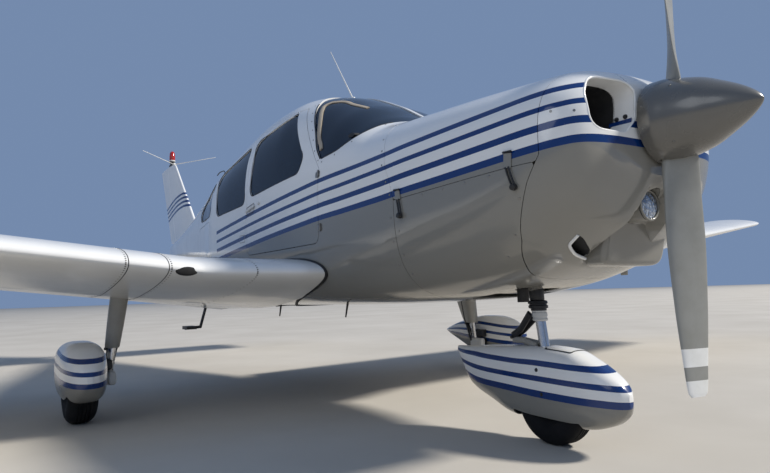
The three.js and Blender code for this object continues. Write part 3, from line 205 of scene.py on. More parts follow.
def thickened(points, faces, thickness):
    """A closed wall: the sheet, its copy moved in along the normals, and a strip round each edge."""
    inner = points - outward_normals(points, faces) * thickness
    n = len(points)
    rim = rim_edges(faces)
    strip = np.stack([rim[:, 1], rim[:, 0], rim[:, 0] + n, rim[:, 1] + n], -1)
    back = flipped(faces)
    back = np.where(back >= 0, back + n, -1)
    return np.vstack([points, inner]), np.vstack([faces, back, strip])


def closed_loft(rings, caps=True):
    """Rings (rows, points, 3) joined into a skin, with a fan over each end."""
    rows, count = rings.shape[:2]
    points = rings.reshape(-1, 3)
    faces = grid_quads(rows, count, wrap=True)
    if caps:
        middles = np.stack([rings[0].mean(0), rings[-1].mean(0)])
        points = np.vstack([points, middles])
        around = np.arange(count)
        after = (around + 1) % count
        none = np.full(count, -1)
        first = np.stack([np.full(count, rows * count), after, around, none], -1)
        last = np.stack([np.full(count, rows * count + 1), around, after, none], -1)
        last[:, 1:3] += (rows - 1) * count
        faces = np.vstack([faces, first, last])
    if volume(points, faces) < 0:
        faces = flipped(faces)
    return points, faces


def together(*shapes):
    """Several (points, faces) as one."""
    points, faces, base = [], [], 0
    for p, f in shapes:
        points.append(p)
        faces.append(np.where(f >= 0, f + base, -1))
        base += len(p)
    return np.vstack(points), np.vstack(faces)


def mirrored(shape):
    """The shape on the other side of the centre plane, with its faces turned back out."""
    points, faces = shape
    return points * np.array([1, -1, 1]), flipped(faces)


SIDES = (("left", 1), ("right", -1))


def on_side_of(sign, shape):
    """The shape itself for the left side (1), its mirror image for the right (-1)."""
    return shape if sign > 0 else mirrored(shape)


def on_both_sides(shape):
    """The shape and its mirror image in one."""
    return together(shape, mirrored(shape))


def piece(name, shape, material, slot, body="airframe", replaces=(), sharp=32, **layers):
    """Puts points and faces into a mesh, with numbers per point as attributes, and seats it on its body."""
    points, faces = shape
    used = np.zeros(len(points), bool)
    used[faces[faces >= 0]] = True
    renumber = np.cumsum(used) - 1
    faces = np.where(faces >= 0, renumber[faces], -1)
    mesh = bpy.data.meshes.new(name)
    listed = [row[:3] if row[3] < 0 else row for row in faces.tolist()]
    mesh.from_pydata(points[used].tolist(), [], listed)
    mesh.validate()
    for key, values in layers.items():
        layer = mesh.attributes.new(key, "FLOAT", "POINT")
        layer.data.foreach_set("value", np.asarray(values, np.float32)[used])
    mesh.shade_smooth()
    mesh.set_sharp_from_angle(angle=math.radians(sharp))
    thing = bpy.data.objects.new(name, mesh)
    bpy.context.collection.objects.link(thing)
    thing.data.materials.append(material)
    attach(thing, body)
    if replaces:
        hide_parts(*replaces)
    return thing


print("helpers ready")

# %% [markdown]
# ## Cutting a sheet along a line
# A door or window edge crosses the grid's cells. Each corner that lies near the edge is moved along
# its grid line on to it, so the cut is clean and the sheet still follows the hull exactly.

# %% Cut sheets
# A corner moves at most about half the way to its neighbour.
FARTHEST = 0.5001


def cut_sheet(place, first, second, field, wrap=False):
    """place(u, v) gives points, field(points) is positive where the sheet stays. A corner whose grid
    line crosses zero nearer to it than to its neighbour is moved to the crossing."""
    u, v = np.meshgrid(first, second, indexing="ij")
    value = field(place(u, v))
    best = np.full(u.shape, FARTHEST)
    du, dv = np.zeros_like(u), np.zeros_like(v)
    for axis, step in ((0, 1), (0, -1), (1, 1), (1, -1)):
        other = np.roll(value, -step, axis)
        nu, nv = np.roll(u, -step, axis), np.roll(v, -step, axis)
        if axis == 1 and wrap:
            period = second[-1] + (second[1] - second[0]) - second[0]
            edge = -1 if step == 1 else 0
            nv[:, edge] += period * step
        valid = np.ones(u.shape, bool)
        if not (axis == 1 and wrap):
            edge = [slice(None), slice(None)]
            edge[axis] = -1 if step == 1 else 0
            valid[tuple(edge)] = False
        crossing = valid & ((value > 0) != (other > 0))
        with np.errstate(divide="ignore", invalid="ignore"):
            t = np.where(crossing, value / (value - other), 1.0)
        take = crossing & (t < best)
        best = np.where(take, t, best)
        du, dv = np.where(take, (nu - u) * t, du), np.where(take, (nv - v) * t, dv)
    moved = best < FARTHEST
    sign = np.where(moved, 0, np.where(value > 0, 1, -1)).reshape(-1)
    points = place(u + du, v + dv).reshape(-1, 3)
    quads = grid_quads(u.shape[0], u.shape[1], wrap)
    corner = sign[quads]
    plus, minus = (corner > 0).any(1), (corner < 0).any(1)
    flat_value = value.reshape(-1)
    whole = quads[(plus & ~minus) | (~plus & ~minus & (flat_value[quads].mean(1) > 0))]
    mixed = quads[plus & minus]
    if len(mixed):
        state = sign[mixed]
        diagonal = (state[:, 0] == 0) & (state[:, 2] == 0)
        a = np.where(diagonal[:, None], mixed[:, [0, 1, 2]], mixed[:, [0, 1, 3]])
        b = np.where(diagonal[:, None], mixed[:, [0, 2, 3]], mixed[:, [1, 2, 3]])
        small = np.vstack([a, b])
        s = sign[small]
        small = small[(s > 0).any(1) & (s >= 0).all(1)]
        whole = np.vstack([whole, np.hstack([small, np.full((len(small), 1), -1)])])
    return points, whole


def facing_out(points, faces, centre):
    """Turns the sheet's faces away from a centre (one point, or one for each of the sheet's points)."""
    normal = outward_normals(points, faces)
    used = np.unique(faces[faces >= 0])
    away = ((points - centre) * normal)[used].sum()
    return (points, faces) if away > 0 else (points, flipped(faces))


def rounded(corners, radius=0.0, parts=8):
    """A closed outline with each corner eased by a short curve; a corner may bring its own radius."""
    out, n = [], len(corners)
    for i, corner in enumerate(corners):
        here = np.array(corner[:2], float)
        own = corner[2] if len(corner) > 2 else radius
        if own <= 0:
            out.append(here)
            continue
        before = np.array(corners[i - 1][:2], float) - here
        after = np.array(corners[(i + 1) % n][:2], float) - here
        lb, la = np.linalg.norm(before), np.linalg.norm(after)
        half = math.acos(np.clip(before @ after / (lb * la), -1, 1)) / 2
        reach = min(own / math.tan(half), lb / 2, la / 2)
        start, end = here + before / lb * reach, here + after / la * reach
        t = np.linspace(0, 1, parts + 1)[:, None]
        out.extend((1 - t) ** 2 * start + 2 * t * (1 - t) * here + t**2 * end)
    return np.array(out)


def signed_distance(outline, u, v):
    """Distance from (u, v) to a closed outline, negative inside it."""
    shape = np.shape(u)
    q = np.stack([np.ravel(u), np.ravel(v)], -1)
    best = np.full(len(q), np.inf)
    inside = np.zeros(len(q), bool)
    for a, b in zip(outline, np.roll(outline, -1, 0)):
        edge = b - a
        t = np.clip(((q - a) @ edge) / max(edge @ edge, 1e-18), 0, 1)
        best = np.minimum(best, np.linalg.norm(q - a - t[:, None] * edge, axis=1))
        spans = (a[1] > q[:, 1]) != (b[1] > q[:, 1])
        with np.errstate(divide="ignore", invalid="ignore"):
            cross = a[0] + (q[:, 1] - a[1]) / (b[1] - a[1]) * edge[0]
        inside ^= spans & (q[:, 0] < cross)
    return np.where(inside, -best, best).reshape(shape)


def smooth(table, column, at):
    """Smooth interpolation of a table's column without overshoot, as in the CAD source."""
    s, v = table[:, 0], table[:, column]
    at = np.asarray(at, float)
    slope = np.diff(v) / np.diff(s)
    m = np.empty(len(s))
    m[0], m[-1] = slope[0], slope[-1]
    a, b = slope[:-1], slope[1:]
    with np.errstate(divide="ignore", invalid="ignore"):
        m[1:-1] = np.where(a * b <= 0, 0, 2 * a * b / (a + b))
    i = np.clip(np.searchsorted(s, at, side="right") - 1, 0, len(s) - 2)
    h = s[i + 1] - s[i]
    t = np.clip((at - s[i]) / h, 0, 1)
    hermite = v[i] * (1 + 2 * t) * (1 - t) ** 2 + v[i + 1] * t * t * (3 - 2 * t)
    return hermite + h * t * (1 - t) * (m[i] * (1 - t) - m[i + 1] * t)


print("cutting ready")

# %% [markdown]
# ## Paint and other finishes
# The aircraft is white above and warm grey below, with four dark blue stripes along the side. The
# stripes are a ramp over each point's height above the lowest stripe, so their edges stay crisp.
# Small changes of tone, gloss and surface come from noise on object coordinates.

# %% Materials


class Finish:
    """A material built step by step around one Principled shader."""

    def __init__(self, name):
        """A new material whose noises read object coordinates."""
        self.material = bpy.data.materials.new(name)
        self.material.use_nodes = True
        self.tree = self.material.node_tree
        self.shader = self.tree.nodes["Principled BSDF"]
        self.place = self.node("ShaderNodeTexCoord").outputs["Object"]

    def node(self, kind, **settings):
        """Adds a node; a setting goes to the socket of its name, or else to the node."""
        made = self.tree.nodes.new(kind)
        for key, value in settings.items():
            if key in made.inputs:
                made.inputs[key].default_value = value
            else:
                setattr(made, key, value)
        return made

    def link(self, a, b):
        """Joins an output to an input."""
        self.tree.links.new(a, b)

    def feed(self, socket, value):
        """Gives a socket a plain number or colour, or the output of a node."""
        if isinstance(value, (int, float)):
            self.shader.inputs[socket].default_value = value
        elif isinstance(value, (tuple, list)):
            self.shader.inputs[socket].default_value = (*value, 1)
        else:
            self.link(value, self.shader.inputs[socket])

    def along(self, axis):
        """One of the three object coordinates."""
        made = self.node("ShaderNodeSeparateXYZ")
        self.link(self.place, made.inputs["Vector"])
        return made.outputs[axis]

    def maths(self, operation, source, number=None):
        """Works a sum on a source, with a plain number as its second part where it needs one."""
        made = self.node("ShaderNodeMath", operation=operation)
        self.link(source, made.inputs[0])
        if number is not None:
            made.inputs[1].default_value = number
        return made.outputs[0]

    def noise(self, scale, detail=3.0, stretch=(1, 1, 1), roughness=0.55):
        """Cloudy noise, stretched along the axes."""
        mapping = self.node("ShaderNodeMapping")
        mapping.inputs["Scale"].default_value = stretch
        self.link(self.place, mapping.inputs["Vector"])
        made = self.node("ShaderNodeTexNoise", Scale=scale, Detail=detail, Roughness=roughness)
        self.link(mapping.outputs["Vector"], made.inputs["Vector"])
        return made.outputs["Fac"]

    def ramp(self, source, stops, kind="LINEAR"):
        """Turns a number into a colour by (place, colour) stops."""
        made = self.node("ShaderNodeValToRGB")
        made.color_ramp.interpolation = kind
        elements = made.color_ramp.elements
        while len(elements) < len(stops):
            elements.new(0.5)
        for element, (where, colour) in zip(elements, stops):
            element.position = where
            element.color = (*colour, 1)
        self.link(source, made.inputs["Fac"])
        return made.outputs["Color"]

    def mix(self, factor, a, b, blend="MIX"):
        """Blends two colours."""
        made = self.node("ShaderNodeMix", data_type="RGBA", blend_type=blend)
        for socket, value in zip([s for s in made.inputs if s.type == "RGBA"], (a, b)):
            self.link(value, socket)
        if isinstance(factor, (int, float)):
            made.inputs[0].default_value = factor
        else:
            self.link(factor, made.inputs[0])
        return [s for s in made.outputs if s.type == "RGBA"][0]

    def spread(self, source, low, high, start=0.0, end=1.0):
        """Maps start to end on to low to high."""
        made = self.node("ShaderNodeMapRange")
        for key, value in (("From Min", start), ("From Max", end), ("To Min", low), ("To Max", high)):
            made.inputs[key].default_value = value
        self.link(source, made.inputs["Value"])
        return made.outputs["Result"]

    def colour(self, source):
        """Sets the base colour."""
        self.feed("Base Color", source)

    def rough(self, scale, detail, low, high, start=0.3, end=0.7, stretch=(1, 1, 1)):
        """Lets the roughness wander between two values by a noise."""
        self.feed("Roughness", self.spread(self.noise(scale, detail, stretch), low, high, start, end))

    def bump(self, source, strength, distance):
        """Raises the surface by a height."""
        made = self.node("ShaderNodeBump", Strength=strength, Distance=distance)
        self.link(source, made.inputs["Height"])
        self.link(made.outputs["Normal"], self.shader.inputs["Normal"])

    def set(self, **values):
        """Sets sockets of the shader; an underscore in a name stands for a space."""
        for key, value in values.items():
            self.feed(key.replace("_", " "), value)


BLUE = (0.003, 0.030, 0.150)
PAINT_WHITE = (0.80, 0.80, 0.79)
PAINT_GREY = (0.235, 0.228, 0.205)
STRIPE_PITCH = 0.064
STRIPE_HALVES = (0.0130, 0.0125, 0.0100, 0.0120)
FAIRING_HALVES = (0.0150, 0.0117, 0.0122)
FIN_HALVES = (0.016,) * 4
BAND_LOW, BAND_HIGH = -0.10, 0.30
STRIPES_END = 3.474


def stripe_stops(below, above, halves=STRIPE_HALVES):
    """Ramp stops over the band's range: the lower paint, then stripe and white by turns."""
    share = lambda band: (band - BAND_LOW) / (BAND_HIGH - BAND_LOW)
    stops = [(0.0, below)]
    for k, half in enumerate(halves):
        stops += [(share(k * STRIPE_PITCH - half), BLUE), (share(k * STRIPE_PITCH + half), above)]
    return stops


def striped(f, stops, plain_aft):
    """Colour by the band attribute, with no stripes aft of a station if one is given."""
    band = f.node("ShaderNodeAttribute", attribute_name="band")
    share = f.spread(band.outputs["Fac"], 0, 1, BAND_LOW, BAND_HIGH)
    tone = f.ramp(share, stops, "CONSTANT")
    if not plain_aft:
        return tone
    ahead = f.maths("GREATER_THAN", f.along("X"), FRONT - plain_aft)
    two_tone = f.ramp(share, [stops[0], (stops[1][0], stops[2][1])], "CONSTANT")
    return f.mix(ahead, two_tone, tone)


def gloss_paint(name, base=None, stops=None, dirt=0.06, rough=(0.17, 0.27), wave=0.012, plain_aft=0):
    """Glossy enamel: slow changes of tone, faint streaks along the airflow, fine orange peel."""
    f = Finish(name)
    if stops:
        tone = striped(f, stops, plain_aft)
    else:
        tone = f.ramp(f.noise(1.3, 2), [(0.3, tuple(c * 0.97 for c in base)), (0.7, base)])
    streaks = [(0.30, (1 - dirt, 1 - dirt, 1 - dirt * 1.15)), (0.72, (1, 1, 1))]
    streak = f.ramp(f.noise(4.0, 3, (0.25, 1, 1.6)), streaks)
    f.colour(f.mix(1.0, tone, streak, "MULTIPLY"))
    f.rough(3, 3, *rough, 0.25, 0.75)
    f.bump(f.noise(2.6, 3), 0.35, wave)
    f.set(Coat_Weight=0.35, Coat_Roughness=0.06, Specular_IOR_Level=0.4)
    return f.material


TWO_TONE = stripe_stops(PAINT_GREY, PAINT_WHITE)
HULL = gloss_paint("hull_paint", stops=TWO_TONE, rough=(0.09, 0.18), wave=0.014, plain_aft=STRIPES_END)
FIN_PAINT = gloss_paint("fin_paint", stops=stripe_stops(PAINT_WHITE, PAINT_WHITE, FIN_HALVES))
SPAT = gloss_paint("fairing_paint", stops=stripe_stops(PAINT_GREY, PAINT_WHITE, FAIRING_HALVES))
WING_WHITE = gloss_paint("wing_white", PAINT_WHITE, dirt=0.07)
GREY = gloss_paint("lower_grey", PAINT_GREY)


def plain(name, base, rough, metal=0.0, vary=0.12, scale=8.0, grain=0.0, grain_scale=120.0, **sockets):
    """One material with mottled tone, uneven gloss and a fine grain."""
    f = Finish(name)
    f.colour(f.ramp(f.noise(scale, 4), [(0.3, tuple(c * (1 - vary) for c in base)), (0.72, base)]))
    f.rough(scale * 1.7, 4, rough * 0.8, min(1.0, rough * 1.2))
    f.set(Metallic=metal, **sockets)
    if grain:
        f.bump(f.noise(grain_scale, 3), 0.5, grain)
    return f.material


RUBBER = plain(
    "tyre_rubber", (0.011, 0.011, 0.012), 0.78, vary=0.35, grain=0.0006, grain_scale=300,
    Specular_IOR_Level=0.2)
SEAL = plain("seal_rubber", (0.012, 0.012, 0.013), 0.6, vary=0.2, grain=0.0003)
STEEL = plain("bright_steel", (0.62, 0.63, 0.65), 0.22, 1.0, 0.15, 20, 0.0001, 400)
DULL_METAL = plain("dull_alloy", (0.36, 0.36, 0.36), 0.42, 0.85, 0.2, 14, 0.0003)
GEAR_PAINT = plain("gear_paint", (0.34, 0.33, 0.30), 0.42, 0.1, 0.18, 10, 0.0003)
GEAR_WHITE = plain("gear_white", (0.66, 0.66, 0.64), 0.4, 0.0, 0.15, 12, 0.0003)
# Near black for the insides of the ducts and the wing's vent: painted shade where light does not reach.
DUCT_SHADE = plain("duct_painted_shade", (0.010, 0.010, 0.011), 0.8, vary=0.3, grain=0.0005)
BLACK_PART = plain("black_plastic", (0.016, 0.016, 0.018), 0.45, vary=0.25, grain=0.0003)
SCREW = plain("screw_steel", (0.30, 0.29, 0.27), 0.4, 0.9, 0.3, 60)
TRIM = plain("cabin_trim", (0.42, 0.36, 0.28), 0.85, vary=0.15, grain=0.0008, grain_scale=220)
CLOTH = plain(
    "seat_cloth", (0.30, 0.25, 0.19), 0.95, vary=0.2, scale=25, grain=0.001, grain_scale=500,
    Sheen_Weight=0.4)
SOOT = plain("sooty_steel", (0.030, 0.028, 0.026), 0.7, 0.3, 0.3, 20, 0.0004)
print("materials", len(bpy.data.materials))

# %% [markdown]
# ## The hull's shape
# The fuselage is a run of sections. Each is two half superellipses that meet at the widest place,
# and their sizes are interpolated along the length. The same table shapes the CAD solids.

# %% Hull sections
# Columns: station, half width, bottom, height of the widest place and top in millimetres, then the
# exponents above and below
SECTIONS = np.array([
    [360, 245, 1030, 1213, 1330, 2.3, 2.1], [372, 330, 985, 1200, 1354, 2.4, 2.2],
    [395, 388, 925, 1180, 1380, 2.5, 2.3], [430, 430, 862, 1160, 1406, 2.6, 2.4],
    [490, 470, 818, 1140, 1427, 2.7, 2.6], [560, 494, 768, 1130, 1434, 2.7, 2.8],
    [640, 508, 714, 1120, 1438, 2.7, 3.0], [900, 530, 640, 1110, 1455, 2.7, 3.2],
    [1250, 550, 600, 1105, 1477, 2.6, 3.6], [1560, 556, 588, 1110, 1507, 2.5, 4.0],
    [1700, 558, 585, 1115, 1576, 2.5, 4.0], [1930, 560, 582, 1120, 1702, 2.5, 4.0],
    [2290, 560, 580, 1130, 1845, 2.7, 4.0], [2520, 560, 580, 1135, 1878, 2.9, 4.0],
    [2820, 560, 580, 1140, 1866, 3.0, 4.0], [3240, 560, 580, 1140, 1784, 3.0, 4.0],
    [3560, 556, 588, 1140, 1722, 2.9, 3.8], [3920, 503, 622, 1145, 1666, 2.7, 3.4],
    [4300, 445, 676, 1150, 1598, 2.5, 3.0], [5000, 340, 802, 1160, 1458, 2.4, 2.7],
    [5800, 212, 942, 1175, 1350, 2.2, 2.5], [6450, 98, 1048, 1180, 1296, 2.2, 2.4],
])
SECTIONS[:, :5] /= 1000


def section_values(station):
    """Half width, bottom, height of the widest place, top and the two exponents at a station."""
    return [smooth(SECTIONS, k, station) for k in range(1, 7)]


def hull_point(station, angle, inset=0.0):
    """Superellipse: across = w |sin|^(2/e), up = reach |cos|^(2/e), e differing above and below."""
    w, bottom, middle, top, up, low = section_values(station)
    c, s = np.cos(angle), np.sin(angle)
    e = 2 / np.where(c >= 0, up, low)
    reach = np.where(c >= 0, top - middle, middle - bottom) - inset
    y = (w - inset) * signed_power(s, e)
    z = middle + reach * signed_power(c, e)
    return stacked(FRONT - station, y, z)


# Equal steps of the second parameter are equal steps round the cabin's section.
CABIN_STATION = 2.5
FINE_ANGLES = np.linspace(0, 2 * np.pi, 4001)
WALKED = run_along(hull_point(np.full_like(FINE_ANGLES, CABIN_STATION), FINE_ANGLES))
WALKED /= WALKED[-1]


def turn_of(share):
    """Angle at a share of the way round the cabin's section."""
    return np.interp(np.mod(share, 1.0), WALKED, FINE_ANGLES)


def hull(station, share, inset=0.0):
    """share 0 is the top, 0.25 about the left side, 0.5 the bottom, 0.75 about the right side."""
    return hull_point(station, turn_of(share), inset)


def hull_across(station, z, side):
    """Distance across at a height, on the left (1) or right (-1)."""
    w, bottom, middle, top, up, low = section_values(station)
    upper = z >= middle
    e = np.where(upper, up, low)
    reach = np.where(upper, top - middle, middle - bottom)
    return side * w * np.maximum(1 - np.abs((z - middle) / reach) ** e, 0) ** (1 / e)


# Columns: station, height of the lowest stripe's middle
STRIPE_LINE = np.array([
    [0.36, 1.131], [0.395, 1.128], [0.44, 1.120], [0.51, 1.109], [0.645, 1.096], [0.84, 1.083],
    [1.065, 1.070], [1.20, 1.063], [1.345, 1.054], [1.51, 1.047], [1.685, 1.040], [1.88, 1.034],
    [2.15, 1.019], [2.38, 1.005], [2.70, 0.982], [3.16, 0.943], [3.43, 0.919], [4.30, 0.845],
    [6.45, 0.665],
])


def in_ramp(band):
    """The band kept just inside the ramp's range."""
    return np.clip(band, BAND_LOW + 0.001, BAND_HIGH - 0.001)


def band_of(points):
    """Height above the lowest stripe."""
    return in_ramp(points[:, 2] - smooth(STRIPE_LINE, 1, FRONT - points[:, 0]))


def hull_spot(station, z, side):
    """Point on the hull's side and its outward direction, from the slope of the distance across."""
    small = 0.001
    y = hull_across(station, z, side)
    along = (hull_across(station + small, z, side) - y) / small
    upward = (hull_across(station, z + small, side) - y) / small
    normal = side * np.stack([along, np.ones_like(y), -upward], -1)
    point = np.stack([FRONT - station, y, z], -1)
    return point, unit(normal)


print("hull half width at the cabin", float(hull_across(2.5, 1.135, 1)))

# %% [markdown]
# ## Cabin shell, doors and windows
# The cabin is riveted sheet over frames, with a door for the front seats on the right, a baggage
# door behind it, three side windows a side and a two-part windscreen. Each panel is cut from the
# same hull surface, so panels meet flush with a narrow gap.

# %% Outlines of doors and windows
# Each outline is a row of (station, z) corners; a third number is a corner's own radius.
WINDOWS = {
    "front": [[2.385, 1.722, 0.03], [2.836, 1.640], [2.832, 1.272], [2.150, 1.308], [2.104, 1.390]],
    "rear": [[2.925, 1.632], [3.565, 1.552], [3.464, 1.222], [2.918, 1.240]],
    "aft": [[3.636, 1.512], [3.830, 1.484], [4.138, 1.330], [4.062, 1.250], [3.630, 1.246]],
}
WINDOW_LINES = {name: rounded(corners, 0.062) for name, corners in WINDOWS.items()}
SCREEN_LINE = rounded([
    [1.50, 1.560, 0.001], [1.590, 1.535], [1.606, 1.500], [1.642, 1.450], [1.699, 1.402], [1.784, 1.361],
    [1.914, 1.340, 0.012], [1.978, 1.408], [2.052, 1.513], [2.141, 1.617], [2.216, 1.704], [2.262, 1.760],
    [2.400, 1.880, 0.001], [2.400, 2.10, 0.001], [1.50, 2.10, 0.001],
], 0.03, 5)
SCREEN_POST = 0.016
DOOR_LINE = rounded([
    [2.318, 1.745, 0.04], [2.872, 1.690], [2.902, 0.905], [1.910, 0.905], [1.910, 1.292, 0.02]], 0.060)
BAGGAGE_LINE = rounded([[3.650, 1.215], [4.170, 1.205], [4.190, 0.870], [3.650, 0.850]], 0.060)
FIREWALL = np.array([
    [1.250, 0.5], [1.250, 1.040], [1.275, 1.120], [1.312, 1.200], [1.336, 1.270], [1.404, 1.377],
    [1.430, 1.410], [1.470, 1.470], [1.500, 1.700], [0.0, 1.700], [0.0, 0.5]])
CABIN_WALL, PANE_WALL, COWL_WALL = 0.026, 0.006, 0.005
SEAM_HALF, PANE_GAP = 0.0015, 0.0005
HULL_MIDDLE = 1.15
# The distance a field gives where its hole does not apply
FAR = 0.2


def from_side(outline, p):
    """Distance outside an outline of (station, z), measured in the side view."""
    return signed_distance(outline, FRONT - p[..., 0], p[..., 2])


def side_field(outline, side):
    """Distance outside a side outline that holds for one side of the hull."""

    def field(p):
        """The distance on that side, and at least FAR on the other."""
        d = from_side(outline, p)
        return np.where(p[..., 1] * side > 0, d, np.maximum(d, FAR))

    return field


def screen_field(p):
    """Distance outside the windscreen's outline, or inside the post at its middle where that is more."""
    return np.maximum(from_side(SCREEN_LINE, p), SCREEN_POST - np.abs(p[..., 1]))


DOOR_FIELD, BAGGAGE_FIELD = side_field(DOOR_LINE, -1), side_field(BAGGAGE_LINE, -1)
WINDOW_FIELDS = {
    (name, sign): side_field(line, sign) for name, line in WINDOW_LINES.items() for _, sign in SIDES
}
DOOR_WINDOW = ("front", -1)


def shell_field(p):
    """The smallest distance to the holes: screen, doors, windows and everything ahead of the firewall."""
    holes = [screen_field(p), DOOR_FIELD(p), BAGGAGE_FIELD(p)]
    holes += [field(p) for key, field in WINDOW_FIELDS.items() if key != DOOR_WINDOW]
    holes.append(from_side(FIREWALL, p) - SEAM_HALF)
    return np.minimum.reduce(holes)


def hull_sheet(stations, shares, field, thickness, inset=0.0, wrap=False):
    """A cut piece of the hull with a wall thickness."""
    points, faces = cut_sheet(lambda u, v: hull(u, v, inset), stations, shares, field, wrap)
    points, faces = facing_out(points, faces, stacked(points[:, 0], 0, HULL_MIDDLE))
    return thickened(points, faces, thickness)


def hull_piece(name, shape, node, body="airframe", slot="white_paint"):
    """A piece in the hull's striped paint that takes the place of one solid."""
    piece(name, shape, HULL, slot, body, [node], band=band_of(shape[0]))


cabin = hull_sheet(steps(1.2515, 4.299, 0.0165), round_shares(236), shell_field, CABIN_WALL, wrap=True)
hull_piece("cabin_skin", cabin, "cabin_shell")
print("cabin skin faces", len(cabin[1]))

# %% [markdown]
# ## The two doors
# Each leaf is the part of the hull inside its outline and a little smaller all round, so that a
# narrow gap shows. The front one keeps the hole for its window.

# %% Door and baggage door
DOOR_GAP = 0.0035


def door_field(p):
    """Inside the door's outline by the gap, and outside the window in it."""
    return np.minimum(-DOOR_GAP - DOOR_FIELD(p), WINDOW_FIELDS[DOOR_WINDOW](p))


def hatch_field(p):
    """Inside the baggage door's outline by the gap."""
    return -DOOR_GAP - BAGGAGE_FIELD(p)


door = hull_sheet(steps(1.90, 2.91, 0.011), steps(0.56, 0.96, 0.0042), door_field, CABIN_WALL)
hull_piece("door_leaf", door, "cabin_door", "cabin_door")
hatch = hull_sheet(steps(3.64, 4.20, 0.010), steps(0.60, 0.82, 0.0040), hatch_field, CABIN_WALL)
hull_piece("baggage_leaf", hatch, "baggage_door", "baggage_door")

# %% [markdown]
# ## Glass
# The panes are blue tinted sheet and lie a little below the skin. The windscreen is two halves with
# a post between them.

# %% Glass
DEEP_TINT, TINT = (0.022, 0.050, 0.100), (0.040, 0.080, 0.150)
glass = Finish("tinted_glass")
glass.colour(glass.ramp(glass.noise(0.9, 2), [(0.3, DEEP_TINT), (0.75, TINT)]))
glass.rough(7, 4, 0.01, 0.05, 0.35, 0.8)
glass.set(Transmission_Weight=0.85, IOR=1.2, Specular_IOR_Level=0.6, Coat_Weight=0.3, Coat_Roughness=0.02)
GLASS = glass.material
# First and last station of the grid that holds each pane
PANE_STATIONS = {"front": (2.09, 2.85), "rear": (2.91, 3.58), "aft": (3.62, 4.15)}
# Shares of the turn round the hull, on the left and right, for the panes and the screen's halves
PANE_SHARES = {1: (0.03, 0.27), -1: (0.73, 0.97)}
SCREEN_SHARES = {1: (0, 0.2), -1: (0.8, 1.0)}


def pane(name, stations, shares, field, node, body="airframe"):
    """A piece of glass cut from the hull, one wall below its skin."""
    piece(name, hull_sheet(stations, shares, field, PANE_WALL, PANE_WALL), GLASS, "window", body, [node], 60)


for name, (low, high) in PANE_STATIONS.items():
    for side, sign in SIDES:
        inside = lambda p: -PANE_GAP - WINDOW_FIELDS[(name, sign)](p)
        place = ("door_window", "cabin_door") if (name, sign) == DOOR_WINDOW else (f"window_{side}_{name}",)
        shares = steps(*PANE_SHARES[sign], 0.0045)
        pane(f"glass_{side}_{name}", steps(low, high, 0.012), shares, inside, *place)
for side, sign in SIDES:
    half = lambda p: np.minimum(-PANE_GAP - screen_field(p), p[..., 1] * sign)
    shares = steps(*SCREEN_SHARES[sign], 0.0042)
    pane("screen_" + side, steps(1.585, 2.41, 0.011), shares, half, "windscreen_" + side)

# %% [markdown]
# ## Cowling
# Three removable panels go round the engine: a moulded nose bowl with the two cooling inlets, a
# painted upper cowl, and a grey lower one with the cooling exit, the exhaust stub and the hole for
# the nose leg.

# %% Cowl outlines
# The seams are (station, z) corners; the openings in front are (y, z) corners.
BOWL_SEAM = [
    [0.498, 1.6], [0.500, 1.088], [0.552, 1.001], [0.605, 0.892], [0.644, 0.813], [0.713, 0.729],
    [0.752, 0.690], [0.752, 0.500]]
AHEAD = np.array(BOWL_SEAM + [[0.0, 0.5], [0.0, 1.6]])
ABOVE = np.array([[0.500, 1.065], [1.250, 1.033], [1.60, 1.033], [1.60, 1.70], [0.30, 1.70], [0.30, 1.074]])
INLET = rounded([
    [-0.354, 1.162, 0.075], [-0.192, 1.158, 0.05], [-0.132, 1.215, 0.05], [-0.118, 1.350, 0.080],
    [-0.300, 1.362, 0.090], [-0.358, 1.285, 0.08]], 0, 12)
THRUST_Z = 1.212
COWL_GAP = 0.0010
LIGHT = {"station": 0.428, "z": 0.928, "radius": 0.056, "gap": 0.003}
SCOOP_LIP = np.array([[-0.272, 0.824], [-0.274, 0.798], [-0.252, 0.779], [-0.208, 0.759], [-0.150, 0.746]])
SCOOP = rounded([*SCOOP_LIP.tolist(), [-0.158, 0.772], [-0.200, 0.792], [-0.245, 0.815]], 0.006, 3)
# Last station where each opening cuts the bowl
INLET_END, LIGHT_END, SCOOP_END = 0.48, 0.55, 0.66
BOWL_FRONT = 0.3605
SHAFT_HOLE = {"station": 0.3565, "radius": 0.080}
# Right half of the crease round the hollow for the lamp
CREASE_HALF = np.array([
    [-0.060, 1.000], [-0.081, 0.934], [-0.109, 0.875], [-0.128, 0.836], [-0.146, 0.800], [-0.160, 0.700],
    [-0.160, 0.50]])
CREASE = np.vstack([CREASE_HALF, CREASE_HALF[::-1] * [-1, 1]])
RECESS = {"depth": 0.075, "ease": 0.022, "end": 0.62, "top": 1.000, "fade": 0.10}


def recessed(p):
    """Moves the bowl's front aft where the landing light sits: depth times s^2 (3 - 2 s), where s grows
    from 0 at the crease to 1 one easing width inside it, faded out to the back and to the top."""
    inside = np.clip(-signed_distance(CREASE, p[..., 1], p[..., 2]) / RECESS["ease"], 0, 1)
    fade = np.clip((RECESS["end"] - (FRONT - p[..., 0])) / RECESS["fade"], 0, 1)
    fade = fade * np.clip((RECESS["top"] - p[..., 2]) / RECESS["fade"], 0, 1)
    out = p.copy()
    out[..., 0] -= RECESS["depth"] * inside * inside * (3 - 2 * inside) * fade
    return out


